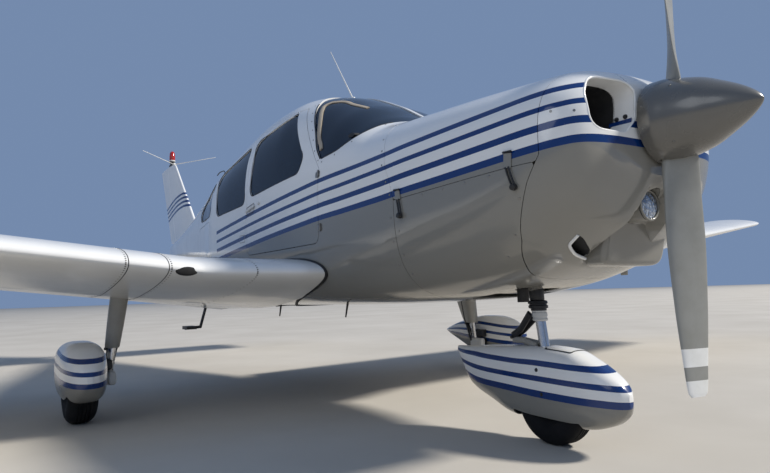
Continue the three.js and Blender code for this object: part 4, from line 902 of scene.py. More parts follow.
def bowl_place(u, v):
    """u from 0 to 1 runs from the shaft out to the front edge, and above 1 back along the hull."""
    front = hull(np.full(np.shape(u), BOWL_FRONT), v)
    angle = turn_of(v)
    radius = SHAFT_HOLE["radius"]
    hole = stacked(FRONT - SHAFT_HOLE["station"], radius * np.sin(angle), THRUST_Z + radius * np.cos(angle))
    ease = np.clip(u, 0, 1)[..., None]
    face = hole * (1 - ease) + front * ease
    behind = hull(BOWL_FRONT + np.maximum(u - 1, 0), v)
    return recessed(np.where((u > 1)[..., None], behind, face))


def bowl_field(p):
    """The smallest distance to the seam, the inlets, the lamp's hole and the scoop, each where it lies."""
    station, y, z = FRONT - p[..., 0], p[..., 1], p[..., 2]
    mouths = np.where(station < INLET_END, signed_distance(INLET, -np.abs(y), z), FAR)
    round_lamp = np.hypot(y, z - LIGHT["z"]) - LIGHT["radius"] - LIGHT["gap"]
    light = np.where(station < LIGHT_END, round_lamp, FAR)
    scoop = np.where(station < SCOOP_END, signed_distance(SCOOP, y, z), FAR)
    return np.minimum.reduce([-COWL_GAP - from_side(AHEAD, p), mouths, light, scoop])


BOWL_ROWS = np.concatenate([
    np.linspace(0, 0.94, 16), [0.975, 1.0], 1 + np.cumsum(np.full(22, 0.0026)),
    1 + 0.0572 + np.cumsum(np.full(36, 0.0095))])
points, faces = cut_sheet(bowl_place, BOWL_ROWS, round_shares(300), bowl_field, True)
points, faces = facing_out(points, faces, stacked(np.minimum(points[:, 0], FRONT - 0.55), 0, HULL_MIDDLE))
bowl = thickened(points, faces, COWL_WALL)
# The walls beside the spinner stay white: their band lies between two stripes.
PLAIN_BAND = 2.5 * STRIPE_PITCH
beside_spinner = (np.abs(bowl[0][:, 1]) < 0.150) & (bowl[0][:, 0] > FRONT - 0.42) & (bowl[0][:, 2] > 1.215)
bowl_band = np.where(beside_spinner, PLAIN_BAND, band_of(bowl[0]))
piece("cowl_bowl", bowl, HULL, "lower_paint", replaces=["nose_bowl"], band=bowl_band)
COWL_ROUND = round_shares(260)
# Station of the middle, half length and half width of the openings below
EXIT_HOLE, LEG_HOLE = (1.105, 0.085, 0.190), (0.963, 0.070, 0.062)
PIPE_HOLE = {"station": 0.915, "y": -0.150, "radius": 0.032}
HOLES_TOP = 0.9


def upper_cowl_field(p):
    """Behind the bowl's seam, above the lower cowl and ahead of the firewall."""
    return np.minimum.reduce([
        from_side(AHEAD, p) - COWL_GAP, -COWL_GAP - from_side(ABOVE, p), -PANE_GAP - from_side(FIREWALL, p)])


def box_field(p, station, half_length, half_width):
    """Distance outside a rectangle in the view from below."""
    return np.maximum(np.abs(FRONT - p[..., 0] - station) - half_length, np.abs(p[..., 1]) - half_width)


def lower_cowl_field(p):
    """Behind and below the seams, and outside the exit, the leg's hole and the pipe's hole."""
    station, y = FRONT - p[..., 0], p[..., 1]
    pipe = np.hypot(station - PIPE_HOLE["station"], y - PIPE_HOLE["y"]) - PIPE_HOLE["radius"]
    holes = np.minimum.reduce([box_field(p, *EXIT_HOLE), box_field(p, *LEG_HOLE), pipe])
    below = np.where(p[..., 2] < HOLES_TOP, holes, FAR)
    return np.minimum.reduce([from_side(AHEAD, p) - COWL_GAP, from_side(ABOVE, p) - COWL_GAP, below])


upper = hull_sheet(steps(0.48, 1.52, 0.011), COWL_ROUND, upper_cowl_field, COWL_WALL, wrap=True)
hull_piece("cowl_top", upper, "cowl_upper")
lower = hull_sheet(steps(0.48, 1.2485, 0.011), COWL_ROUND, lower_cowl_field, COWL_WALL, wrap=True)
hull_piece("cowl_bottom", lower, "cowl_lower", slot="lower_paint")

# %% [markdown]
# ## Tail cone
# Behind the cabin the sheet tapers to the tail, with the stabilator's tube running through it.

# %% Tail cone
tail = closed_loft(hull(steps(4.3006, 6.45, 0.03)[:, None], round_shares(120)[None, :]))
hull_piece("tail_skin", tail, "tail_cone")

# %% [markdown]
# ## Wings
# Each wing is a constant middle panel with a tapered outer one, and its leading edge runs forward
# at the root. The flap and the aileron hang in a hollow along its back edge.

# %% Wing shape
DIHEDRAL, DIHEDRAL_FROM = math.tan(math.radians(7)), 1.170
# Columns: y, then leading edge's station, height, chord, droop of the trailing edge and thickness
WING = np.array([
    [0.430, 1.887, 0.844, 1.841, 0.195, 0.230], [0.640, 1.895, 0.826, 1.833, 0.175, 0.230],
    [1.080, 2.070, 0.783, 1.658, 0.128, 0.226], [2.700, 2.120, 0.774, 1.608, 0.124, 0.226],
    [5.180, 2.496, 0.774, 1.115, -0.019, 0.128]])
# Columns: share of the chord, upper and lower height as shares of the thickness
FOIL = np.array([
    [0, 0, 0], [0.012, 0.13, -0.09], [0.05, 0.27, -0.17], [0.14, 0.45, -0.26], [0.28, 0.59, -0.33],
    [0.42, 0.63, -0.36], [0.58, 0.56, -0.3], [0.74, 0.38, -0.18], [0.88, 0.18, -0.07], [1, 0.008, -0.008]])
FOIL_ROOT = FOIL.copy()
FOIL_ROOT[:, 0] = np.sqrt(FOIL[:, 0])
# Hinge lines by their two ends (y, station)
FLAP_LINE = [[0.625, 3.430], [2.700, 3.430]]
AILERON_LINE = [[2.700, 3.430], [5.110, 3.340]]
ROOT_Y, FLAP_Y, AILERON_Y, AILERON_END, TIP_Y = 0.44, 0.625, 2.7, 5.11, 5.18
# The whole sections inboard and outboard reach a little into the hollowed part.
INNER_END, OUTER_START = 0.6255, 5.1095
# Columns: y, then leading edge's station, chord, thickness and rise
TIP_ROWS = np.array([
    [5.1806, 2.496, 1.115, 0.128, 0], [5.250, 2.520, 1.078, 0.108, 0.003],
    [5.300, 2.572, 0.990, 0.074, 0.009],
    [5.325, 2.640, 0.880, 0.040, 0.016], [5.335, 2.690, 0.780, 0.018, 0.020]])


def wing_at(y):
    """Leading edge's station, height, chord, droop and thickness at y, straight between the rows."""
    lead, height, chord, drop, thick = (np.interp(y, WING[:, 0], WING[:, k]) for k in range(1, 6))
    return lead, height + (y - DIHEDRAL_FROM) * DIHEDRAL, chord, drop, thick


def foil_height(share, upper):
    """Height of the foil as a share of its thickness, smooth over the root of the chord's share."""
    return smooth(FOIL_ROOT, 1 if upper else 2, np.sqrt(np.clip(share, 0, 1)))


def foil_points(y, lead, z, chord, drop, thick, share, upper):
    """Points of the upper or lower line: back by share times chord, down by share times droop."""
    height = foil_height(share, upper) * thick
    return stacked(FRONT - lead - share * chord, y, z - share * drop + height)


def foil_lines(y, values, shares):
    """The upper line from front to back and the lower line from back to front."""
    return foil_points(y, *values, shares, True), foil_points(y, *values, shares[::-1], False)


def spaced(start, end, count):
    """Shares of the chord, closer together at the leading edge."""
    return np.linspace(math.sqrt(start), math.sqrt(end), count) ** 2


def whole_ring(y, values, count=34):
    """One closed section of the foil."""
    top, low = foil_lines(y, values, spaced(0, 1, count))
    return np.vstack([top, low[:-1]])


def on_line(ends, at):
    """Station of a straight line between two ends (place, station), at a place."""
    (p0, s0), (p1, s1) = ends
    return s0 + (at - p0) / (p1 - p0) * (s1 - s0)


def hinge_share(y, line):
    """The wing's numbers at y, and the share of the chord where the hinge line lies."""
    values = wing_at(y)
    return values, (on_line(line, y) - values[0]) / values[2]


def cove_ring(y, line, gap=0.007, count=30):
    """Foil ahead of the hinge line, closed by a hollow that follows the flap's round nose."""
    values, share = hinge_share(y, line)
    top, low = foil_lines(y, values, spaced(0, share, count))
    middle, half = (top[-1] + low[0]) / 2, (top[-1] - low[0])[2] / 2
    a = half_turn(math.pi / 2, 9)
    hollow = stacked(middle[0] + (half + gap) * np.cos(a), y, middle[2] + half * np.sin(a))
    return np.vstack([top, hollow, low[:-1]])


def panel_ring(y, line, count=16):
    """Flap or aileron: round nose, then foil to the trailing edge."""
    values, share = hinge_share(y, line)
    top, low = foil_lines(y, values, np.linspace(share, 1, count))
    middle, half = (top[0] + low[-1]) / 2, (top[0] - low[-1])[2] / 2
    a = half_turn(-math.pi / 2, 13)
    nose = stacked(middle[0] + half * np.cos(a), y, middle[2] + half * np.sin(a))
    return np.vstack([top, low, nose])


def tip_ring(y):
    """The wing's foil drawn in to the rounded tip by the tip's table, with the droop in step."""
    lead, chord, thick, rise = (smooth(TIP_ROWS, k, y) for k in range(1, 5))
    height = wing_at(TIP_Y)[1] + (y - TIP_Y) * DIHEDRAL + rise
    return whole_ring(y, (lead, height, chord, WING[-1, 4] * chord / WING[-1, 3], thick))


def spans(low, high, size, *kinks):
    """Steps from low to high, with the kinks between them added."""
    return np.unique(np.concatenate([steps(low, high, size), [k for k in kinks if low < k < high]]))


def run_of(ring, rows):
    """A closed skin through the section that ring gives at each row."""
    return closed_loft(np.stack([ring(row) for row in rows]))


WING_KINKS = (0.640, 1.080, 2.700)
END = 0.010
plain_ring = lambda y: whole_ring(y, wing_at(y))
hollow_ring = lambda y: cove_ring(y, FLAP_LINE if y <= AILERON_Y else AILERON_LINE)
wing_left = together(
    run_of(plain_ring, spans(ROOT_Y, INNER_END, 0.03)),
    run_of(hollow_ring, spans(FLAP_Y, AILERON_END, 0.08, *WING_KINKS)),
    run_of(plain_ring, spans(OUTER_START, TIP_Y, 0.03)),
)
flap_rows = spans(FLAP_Y + END, AILERON_Y - END, 0.05, *WING_KINKS)
flap_left = run_of(lambda y: panel_ring(y, FLAP_LINE), flap_rows)
aileron_left = run_of(
    lambda y: panel_ring(y, AILERON_LINE), spans(AILERON_Y + END, AILERON_END - END, 0.05))
first, last = TIP_ROWS[0, 0], TIP_ROWS[-1, 0]
tip_left = run_of(tip_ring, first + (last - first) * np.sin(np.linspace(0, math.pi / 2, 14)))
for side, sign in SIDES:
    for name, shape, body, node in (
        ("wing_skin_", wing_left, "airframe", "wing_"),
        ("flap_skin_", flap_left, "flap_" + side, "flap_"),
        ("aileron_skin_", aileron_left, "aileron_" + side, "aileron_"),
        ("tip_skin_", tip_left, "airframe", "wing_tip_"),
    ):
        piece(name + side, on_side_of(sign, shape), WING_WHITE, "wing_paint", body, [node + side], 40)

# %% [markdown]
# ## Propeller and spinner
# The propeller is a two-blade forging, painted grey with light bands at its square tips. The
# spinner is a spun cone with a hole for each blade.

# %% Propeller
PROP_STATION = 0.289
# Columns: radius, chord and thickness in millimetres, pitch in degrees
BLADE = np.array([
    [50, 104, 50, 60], [150, 122, 38, 45], [260, 132, 26, 32], [450, 148, 18, 23], [650, 136, 14, 18],
    [840, 106, 10, 15], [935, 85, 7, 13.5], [950, 62, 5, 13]], float)
BLADE[:, :3] /= 1000
BLADE_ROOT, ROUND_START, ROUND_REACH = 0.05, 0.93, 0.02


def blade_rings(radii, count=44):
    """Section across the blade: a round nose and a thin tail, turned by the pitch."""
    r = radii[:, None]
    chord, thick, pitch = (smooth(BLADE, k, r) for k in (1, 2, 3))
    pitch = np.radians(pitch)
    a = full_turn(count)[None, :]
    u = chord / 2 * signed_power(np.cos(a), 0.9)
    v = thick / 2 * np.sin(a) * (1 - 0.35 * np.cos(a))
    return stacked(
        FRONT - PROP_STATION + u * np.sin(pitch) + v * np.cos(pitch),
        -u * np.cos(pitch) + v * np.sin(pitch), r)


def about_shaft(shape, degrees):
    """Turns a shape about the shaft and lifts it to the shaft's height."""
    points, faces = shape
    a = math.radians(degrees)
    c, s = math.cos(a), math.sin(a)
    y, z = points[:, 1] * c - points[:, 2] * s, points[:, 1] * s + points[:, 2] * c
    return np.stack([points[:, 0], y, z + THRUST_Z], -1), faces


def round_bar(stations, radius, count=40):
    """Rings about the x axis, at z = 0."""
    a = full_turn(count)
    s, r = np.asarray(stations, float)[:, None], np.asarray(radius, float)[:, None]
    return stacked(FRONT - s, r * np.sin(a), r * np.cos(a))


tip_radii = ROUND_START + ROUND_REACH * np.sin(np.linspace(0.2, math.pi / 2, 8))
blade = closed_loft(blade_rings(np.concatenate([steps(BLADE_ROOT, ROUND_START, 0.016), tip_radii])))
hub = closed_loft(round_bar([0.236, 0.238, 0.342, 0.344], [0.056, 0.060, 0.060, 0.058]))
shaft = closed_loft(round_bar([0.34, 0.42], [0.032, 0.032]))
prop = together(
    about_shaft(hub, 0), about_shaft(shaft, 0), about_shaft(blade, 0.3), about_shaft(blade, 180.3))
BLADE_GREY, TIP_WHITE = (0.27, 0.27, 0.25), (0.78, 0.78, 0.76)
# Radius where the ramp of colours starts and its length, and where each colour starts
BANDS_FROM, BANDS_LENGTH = 0.7, 0.3
BLADE_BANDS = [(0.7, BLADE_GREY), (0.788, TIP_WHITE), (0.849, BLADE_GREY), (0.895, TIP_WHITE)]
blade_paint = Finish("blade_paint")
from_hub = blade_paint.maths("SUBTRACT", blade_paint.along("Z"), THRUST_Z)
outward = blade_paint.maths("ABSOLUTE", from_hub)
bands = blade_paint.ramp(
    blade_paint.spread(outward, 0, 1, BANDS_FROM, BANDS_FROM + BANDS_LENGTH),
    [((radius - BANDS_FROM) / BANDS_LENGTH, colour) for radius, colour in BLADE_BANDS], "CONSTANT")
wear = blade_paint.ramp(blade_paint.noise(14, 5), [(0.3, (0.88, 0.88, 0.86)), (0.6, (1, 1, 1))])
blade_paint.colour(blade_paint.mix(1.0, bands, wear, "MULTIPLY"))
blade_paint.rough(11, 4, 0.28, 0.45)
blade_paint.bump(blade_paint.noise(180, 3), 0.3, 0.0004)
piece("propeller_blades", prop, blade_paint.material, "blade_paint", "propeller", ["propeller"], 40)

# %% [markdown]
# ## Spinner
# The cone is a thin turned sheet with a slot round each blade's root. A plate closes it behind.

# %% Spinner
# Columns: radius and station in millimetres
SPINNER = np.array([
    [0, 0], [12, 6], [31, 24], [59, 62], [90, 118], [119, 180], [138, 253], [149, 311],
    [149, 346]], float) / 1000
ROOT_STATION, ROOT_PITCH = 0.291, math.radians(47)
SLOT_HALVES, SLOT_POWER, SLOT_SCALE = (0.067, 0.030), 2.6, 0.03
spinner_run = run_along(SPINNER)
spinner_table = np.column_stack([spinner_run, SPINNER])


def spinner_place(u, v):
    """A turned surface: radius and station at a distance u along the outline, v once round."""
    r, s = smooth(spinner_table, 1, u), smooth(spinner_table, 2, u)
    a = 2 * np.pi * v
    return stacked(FRONT - s, r * np.sin(a), THRUST_Z + r * np.cos(a))


def blade_hole(p):
    """Distance outside the slots round the two blade roots, which lie along the root's pitch."""
    station, y, z = FRONT - p[..., 0] - ROOT_STATION, p[..., 1], p[..., 2] - THRUST_Z
    y = y * np.sign(z)
    along = station * math.sin(ROOT_PITCH) + y * math.cos(ROOT_PITCH)
    across = station * math.cos(ROOT_PITCH) - y * math.sin(ROOT_PITCH)
    level = np.abs(along / SLOT_HALVES[0]) ** SLOT_POWER + np.abs(across / SLOT_HALVES[1]) ** SLOT_POWER
    return np.where(np.abs(z) > 0.05, (level ** (1 / SLOT_POWER) - 1) * SLOT_SCALE, 0.05)


rows = np.concatenate([0.0005 + 0.03 * np.linspace(0, 1, 12) ** 1.6, steps(0.0345, spinner_run[-1], 0.0042)])
points, faces = cut_sheet(spinner_place, rows, round_shares(200), blade_hole, True)
points, faces = facing_out(points, faces, np.array([FRONT - 0.25, 0, THRUST_Z]))
cone = thickened(points, faces, 0.004)
back_points, back_faces = closed_loft(
    round_bar([0.338, 0.3385, 0.3452, 0.346], [0.143, 0.1445, 0.1445, 0.143], 120))
whole_spinner = together(cone, (back_points + [0, 0, THRUST_Z], back_faces))
spinner_grey = plain(
    "spinner_paint", (0.135, 0.13, 0.118), 0.26, 0.25, 0.12, 5, 0.0006, 14, Coat_Weight=0.5,
    Coat_Roughness=0.1)
piece("spinner_cone", whole_spinner, spinner_grey, "spinner_paint", "propeller", ["spinner"], 40)

# %% [markdown]
# ## Fin, rudder and stabilator
# The tail surfaces are thin symmetrical foils. The rudder hangs on a leaning line behind the fin,
# and the stabilator turns as one piece about its tube, with a tab along its back edge.

# %% Fin and rudder
# Columns: share of the chord, half thickness as a share of the greatest
FIN_FOIL = np.array([[0, 0.001], [0.02, 0.45], [0.1, 0.85], [0.3, 1], [0.6, 0.72], [1, 0.03]])
FIN_FOIL[:, 0] = np.sqrt(FIN_FOIL[:, 0])
# Columns: height, station of the leading edge
FIN_LEAD = np.array([[1.250, 5.500], [1.508, 5.820], [1.752, 6.060], [2.231, 6.536], [2.240, 6.560]])
# Columns: station, height of the lowest stripe
FIN_STRIPES = np.array([[5.80, 1.668], [6.10, 1.681], [6.35, 1.664], [6.55, 1.636], [7.10, 1.545]])
FIN_STRIPE_PITCH = 0.051
# Two ends (z, station) of the rudder's back edge and of its hinge line
RUDDER_TRAIL = [[1.300, 6.712], [2.236, 7.160]]
RUDDER_LINE = [[1.300, 6.486], [2.236, 6.800]]
FIN_FOOT, RUDDER_FOOT, FIN_TOP = 1.255, 1.306, 2.236
FIN_HALF = {"foot": 0.042, "loss": 0.016, "from": 1.25, "height": 0.986, "least": 0.0008}


def fin_half(z, share):
    """Half thickness: the greatest one falls evenly with height, and the foil's table shares it out."""
    greatest = FIN_HALF["foot"] - FIN_HALF["loss"] * (z - FIN_HALF["from"]) / FIN_HALF["height"]
    return np.maximum(greatest * smooth(FIN_FOIL, 1, np.sqrt(share)), FIN_HALF["least"])


def fin_ring(z, front_part, count=26):
    """Fin: leading edge to a hollow at the hinge line. Rudder: round nose to the trailing edge."""
    lead = float(np.interp(z, FIN_LEAD[:, 0], FIN_LEAD[:, 1]))
    hinge, chord = on_line(RUDDER_LINE, z), on_line(RUDDER_TRAIL, z) - lead
    at_hinge = (hinge - lead) / chord
    half = fin_half(z, at_hinge)
    a = half_turn(math.pi / 2, 9)
    shares = spaced(0, at_hinge - 0.013, count) if front_part else np.linspace(at_hinge, 1, count)
    left = stacked(FRONT - lead - shares * chord, fin_half(z, shares), z)
    back = left[::-1] * [1, -1, 1]
    if front_part:
        hollow = stacked(FRONT - hinge + 0.010 + (half + 0.004) * np.cos(a), half * np.sin(a), z)
        return np.vstack([left, hollow, back[:-1]])
    nose = stacked(FRONT - hinge + half * np.cos(a[::-1]), half * np.sin(a[::-1]), z)
    return np.vstack([left, back, nose])


def fin_band(points):
    """Height above the fin's lowest stripe, stretched to the ramp's pitch."""
    line = smooth(FIN_STRIPES, 1, FRONT - points[:, 0])
    return in_ramp((points[:, 2] - line) * STRIPE_PITCH / FIN_STRIPE_PITCH)


for name, foot, front_part, body in (
    ("fin", FIN_FOOT, True, "airframe"),
    ("rudder", RUDDER_FOOT, False, "rudder"),
):
    shape = run_of(lambda z: fin_ring(z, front_part), spans(foot, FIN_TOP, 0.03))
    piece(name + "_skin", shape, FIN_PAINT, "white_paint", body, [name], 40, band=fin_band(shape[0]))

# %% [markdown]
# ## Stabilator
# The horizontal tail is one surface on a tube. The tab along its back edge hangs in a cut-out that
# leaves a narrow gap ahead of it.

# %% Stabilator
PIVOT, STAB_Z = 6.330, 1.095
# Columns: share of the chord, half thickness as a share
STAB_FOIL = np.array([[0, 0], [0.02, 0.3], [0.1, 0.46], [0.3, 0.5], [0.6, 0.36], [0.85, 0.16], [1, 0.02]])
STAB_FOIL[:, 0] = np.sqrt(STAB_FOIL[:, 0])
# Columns: y, reach ahead of the pivot, reach behind it and thickness
STAB_ROWS = np.array([
    [0.178, 0.215, 0.560, 0.082], [1.890, 0.215, 0.560, 0.080], [1.938, 0.199, 0.548, 0.056],
    [1.960, 0.169, 0.524, 0.016]])
TAB_CHORD, TAB_GAP, TAB_END = 0.118, 0.022, 1.497
TAB_LINE = PIVOT + STAB_ROWS[0, 2] - TAB_CHORD
MIDDLE_TAB = {"length": 0.112, "half_y": 0.182, "half_z": 0.006}
TUBE_HALF, TUBE_RADIUS = 0.24, 0.024
# y of the root, of the end of the cut-out for the tab, and of the first section beyond it
STAB_ROOT, STAB_TAB_END, STAB_WHOLE = 0.178, 1.506, 1.5062
STAB_ROUND, STAB_ROUND_REACH = 1.89, 0.07


def stab_ring(y, kind, count=26):
    """Section at y: the whole foil, its part ahead of the tab, or the tab."""
    lead, trail, thick = (float(np.interp(y, STAB_ROWS[:, 0], STAB_ROWS[:, k])) for k in range(1, 4))
    chord = lead + trail
    at_tab = (TAB_LINE - PIVOT + lead) / chord
    low, high = {"whole": (0, 1), "front": (0, at_tab - TAB_GAP), "tab": (at_tab, 1)}[kind]
    shares = spaced(low, high, count)
    x = FRONT - (PIVOT - lead + shares * chord)
    rise = smooth(STAB_FOIL, 1, np.sqrt(shares)) * thick
    under = stacked(x, y, STAB_Z - rise)[::-1]
    return np.vstack([stacked(x, y, STAB_Z + rise), under if kind == "tab" else under[:-1]])


def flat_bar(x0, x1, y0, y1, z0, z1, bevel=0.002):
    """A block with eased edges: rounded rings along x."""
    ys = np.array([y0 + bevel, y1 - bevel, y1, y1, y1 - bevel, y0 + bevel, y0, y0])
    zs = np.array([z0, z0, z0 + bevel, z1 - bevel, z1, z1, z1 - bevel, z0 + bevel])
    cy, cz = (y0 + y1) / 2, (z0 + z1) / 2
    small_y, small_z = cy + (ys - cy) * 0.96, cz + (zs - cz) * 0.96
    rings = [np.stack([np.full(8, x), a, b], -1) for x, a, b in (
        (x0, small_y, small_z), (x0 + bevel, ys, zs), (x1 - bevel, ys, zs), (x1, small_y, small_z))]
    return closed_loft(np.stack(rings))


def rod(a, b, radius, end_radius=None, count=20):
    """A round bar from a to b with eased ends."""
    a, b = np.asarray(a, float), np.asarray(b, float)
    along = (b - a) / np.linalg.norm(b - a)
    side = np.cross(along, [0, 0, 1] if abs(along[2]) < 0.9 else [1, 0, 0])
    side /= np.linalg.norm(side)
    up = np.cross(along, side)
    end_radius = radius if end_radius is None else end_radius
    ease = min(radius, end_radius) * 0.15
    angle = full_turn(count)
    circle = np.cos(angle)[:, None] * side + np.sin(angle)[:, None] * up
    rings = [a + circle * (radius - ease), a + along * ease + circle * radius,
             b - along * ease + circle * end_radius, b + circle * (end_radius - ease)]
    return closed_loft(np.stack(rings))


tip_rows = STAB_ROUND + STAB_ROUND_REACH * np.sin(np.linspace(0.15, math.pi / 2, 8))
whole_rows = np.concatenate([[STAB_WHOLE], steps(1.56, STAB_ROUND, 0.05), tip_rows])
half_stab = together(
    run_of(lambda y: stab_ring(y, "front"), spans(STAB_ROOT, STAB_TAB_END, 0.06)),
    run_of(lambda y: stab_ring(y, "whole"), whole_rows),
)
tube = rod((FRONT - PIVOT, -TUBE_HALF, STAB_Z), (FRONT - PIVOT, TUBE_HALF, STAB_Z), TUBE_RADIUS)
stabilator = together(on_both_sides(half_stab), tube)
piece("stabilator_skin", stabilator, WING_WHITE, "white_paint", "stabilator", ["stabilator"], 40)
half_tab = run_of(lambda y: stab_ring(y, "tab", 12), spans(STAB_ROOT, TAB_END, 0.06))
tab_x = FRONT - TAB_LINE
middle_tab = flat_bar(
    tab_x - MIDDLE_TAB["length"], tab_x, -MIDDLE_TAB["half_y"], MIDDLE_TAB["half_y"],
    STAB_Z - MIDDLE_TAB["half_z"], STAB_Z + MIDDLE_TAB["half_z"])
tab = together(on_both_sides(half_tab), middle_tab)
piece("tab_skin", tab, WING_WHITE, "white_paint", "stabilator_tab", ["stabilator_tab"], 40)

# %% [markdown]
# ## Wheels, tyres and fairings
# Each wheel stands in a streamlined glass-fibre fairing with three stripes. The tyres show only
# below it, with four ribs round the tread.

# %% Turned parts


def turned_y(profile, centre, count=72):
    """A closed profile of (radius, along) turned about a line along y."""
    p = np.asarray(profile, float)
    a = full_turn(count)
    rings = stacked(
        centre[0] + p[:, :1] * np.cos(a), centre[1] + p[:, 1:], centre[2] + p[:, :1] * np.sin(a))
    points, faces = rings.reshape(-1, 3), grid_quads(len(p) + 1, count, True) % (len(p) * count)
    return (points, faces) if volume(points - np.asarray(centre), faces) > 0 else (points, flipped(faces))


def tyre_profile(radius, width, rim):
    """Bead, sidewall and a tread with four grooves."""
    h, crown = width / 2, radius - rim
    wall = [
        (rim, -0.62), (rim + 0.12 * crown, -0.78), (rim + 0.4 * crown, -0.99), (rim + 0.55 * crown, -1.0),
        (rim + 0.72 * crown, -0.95), (rim + 0.84 * crown, -0.84), (rim + 0.93 * crown, -0.68),
        (radius - 0.002, -0.52)]
    tread = []
    for k in (-0.36, -0.12, 0.12, 0.36):
        tread += [
            (radius, k - 0.05), (radius - 0.006, k - 0.028), (radius - 0.006, k + 0.028), (radius, k + 0.05)]
    out = [(r, k * h) for r, k in wall + tread]
    return out + [(r, -k * h) for r, k in wall[::-1]]


def rim_profile(rim, width, bore):
    """Hub, web and flange of a wheel, the same on both sides."""
    h, r = width / 2, rim - 0.0006
    half = [
        (bore, 0.5), (bore + 0.018, 0.5), (bore + 0.024, 0.34), (r - 0.022, 0.30), (r - 0.010, 0.5),
        (r - 0.002, 0.6), (r, 0.57)]
    return [(radius, -k * h) for radius, k in half] + [(radius, k * h) for radius, k in half[::-1]]


def wheel_bolts(centre, radius, offset, count=6):
    """Short rods on a circle round the hub, across the wheel."""
    bolts = []
    for a in full_turn(count):
        x, z = centre[0] + radius * math.cos(a), centre[2] + radius * math.sin(a)
        bolts.append(rod((x, centre[1] - offset, z), (x, centre[1] + offset, z), 0.006, count=6))
    return together(*bolts)


# bolts gives the radius of the bolts' circle and half their length
WHEEL = {
    "station": 2.870, "y": 1.524, "radius": 0.203, "width": 0.150, "rim": 0.082, "bore": 0.0185,
    "bolts": (0.052, 0.028)}
NOSE_WHEEL = {
    "station": 0.908, "radius": 0.174, "width": 0.124, "rim": 0.066, "bore": 0.0155, "bolts": (0.042, 0.024)}


def wheel_pieces(end, wheel, centre, body, tyre_node):
    """A tyre and a wheel with its bolts; end closes their names."""
    tyre = turned_y(tyre_profile(wheel["radius"], wheel["width"], wheel["rim"]), centre)
    piece("tyre_ribbed_" + end, tyre, RUBBER, "tyre_rubber", body, [tyre_node], 35)
    rim = turned_y(rim_profile(wheel["rim"], wheel["width"], wheel["bore"]), centre)
    rim_and_bolts = together(rim, wheel_bolts(centre, *wheel["bolts"]))
    piece("rim_" + end, rim_and_bolts, GEAR_WHITE, "rim_paint", body, [body], 35)


for side, sign in SIDES:
    hub_centre = (FRONT - WHEEL["station"], sign * WHEEL["y"], WHEEL["radius"])
    wheel_pieces(side, WHEEL, hub_centre, "wheel_" + side, "tyre_" + side)
nose_hub = np.array([FRONT - NOSE_WHEEL["station"], 0, NOSE_WHEEL["radius"]])
wheel_pieces("nose", NOSE_WHEEL, nose_hub, "nose_wheel", "nose_tyre")

# %% [markdown]
# ## Fairings
# A fairing is a closed teardrop whose sections are superellipses. Its openings for the wheel, the
# axle, the leg and the torque links are cut out of the sheet.

# %% Fairings
# Columns: station, half width, bottom and top in millimetres
MAIN_FAIRING = np.array([
    [2532, 14, 232, 276], [2550, 46, 196, 318], [2600, 80, 158, 366], [2690, 105, 124, 412],
    [2800, 114, 110, 432],
    [2920, 115, 112, 434], [3060, 106, 150, 420], [3220, 80, 212, 384], [3380, 42, 272, 336],
    [3450, 10, 296, 312]]) / 1000
NOSE_FAIRING = np.array([
    [545, 12, 192, 240], [567, 42, 152, 272], [618, 70, 116, 311], [703, 90, 91, 357], [788, 95, 84, 391],
    [959, 95, 88, 400], [1108, 90, 100, 396], [1235, 76, 142, 389], [1384, 46, 197, 379],
    [1504, 12, 341, 373]]) / 1000
FAIRING_WALL, CAP_DEPTH, FAIRING_MIDDLE = 0.004, 0.01, 0.26
MAIN_FAIRING_Y = WHEEL["y"] - 0.002
# Half length, half width and top of the wheels' openings
MAIN_OPENING, NOSE_OPENING = (0.205, 0.090, 0.205), (0.178, 0.074, 0.185)
AXLE_SLOT = {"half_length": 0.040, "y": -0.058, "z": 0.206, "half_height": 0.056}
LEG_OPENING = {"station": 0.951, "radius": 0.034}
LINKS_OPENING = (1.03, 0.082, 0.028)
NOSE_TOP = 0.33


def fairing_sheet(table, y, hole, count=120):
    """Superellipse rings of exponent 3, closed at nose and tail, with openings cut out."""
    s0, s1 = table[0, 0], table[-1, 0]
    share = np.linspace(0, 1, 110)
    stations = s0 + (s1 - s0) * (0.5 - 0.5 * np.cos(np.pi * share)) ** 0.9
    stations = np.concatenate([[s0], stations[1:-1], [s1]])

    def place(u, v):
        """Rows beyond either end shrink to close the nose and the tail."""
        ahead, behind = 1 - (s0 - u) / CAP_DEPTH, 1 - (u - s1) / CAP_DEPTH
        shrink = np.clip(np.where(u < s0, ahead, np.where(u > s1, behind, 1)), 0.02, 1)
        station = np.clip(u, s0, s1)
        half, low, high = (smooth(table, k, station) for k in (1, 2, 3))
        a = 2 * np.pi * v
        return stacked(
            FRONT - station, y + shrink * half * signed_power(np.sin(a), 2 / 3),
            (low + high) / 2 + shrink * (high - low) / 2 * signed_power(np.cos(a), 2 / 3))

    rows = np.concatenate([[s0 - 0.0098, s0 - 0.005], stations, [s1 + 0.005, s1 + 0.0098]])
    points, faces = cut_sheet(place, rows, round_shares(count), hole, True)
    middle = np.clip(points[:, 0], FRONT - s1 + 0.1, FRONT - s0 - 0.1)
    points, faces = facing_out(points, faces, stacked(middle, y, FAIRING_MIDDLE))
    return thickened(points, faces, FAIRING_WALL)


def wheel_opening(station, y, z, wheel, opening):
    """Distance outside a box round the wheel that is open below."""
    half_length, half_width, top = opening
    return np.maximum.reduce([
        np.abs(station - wheel["station"]) - half_length, np.abs(y) - half_width, z - top])


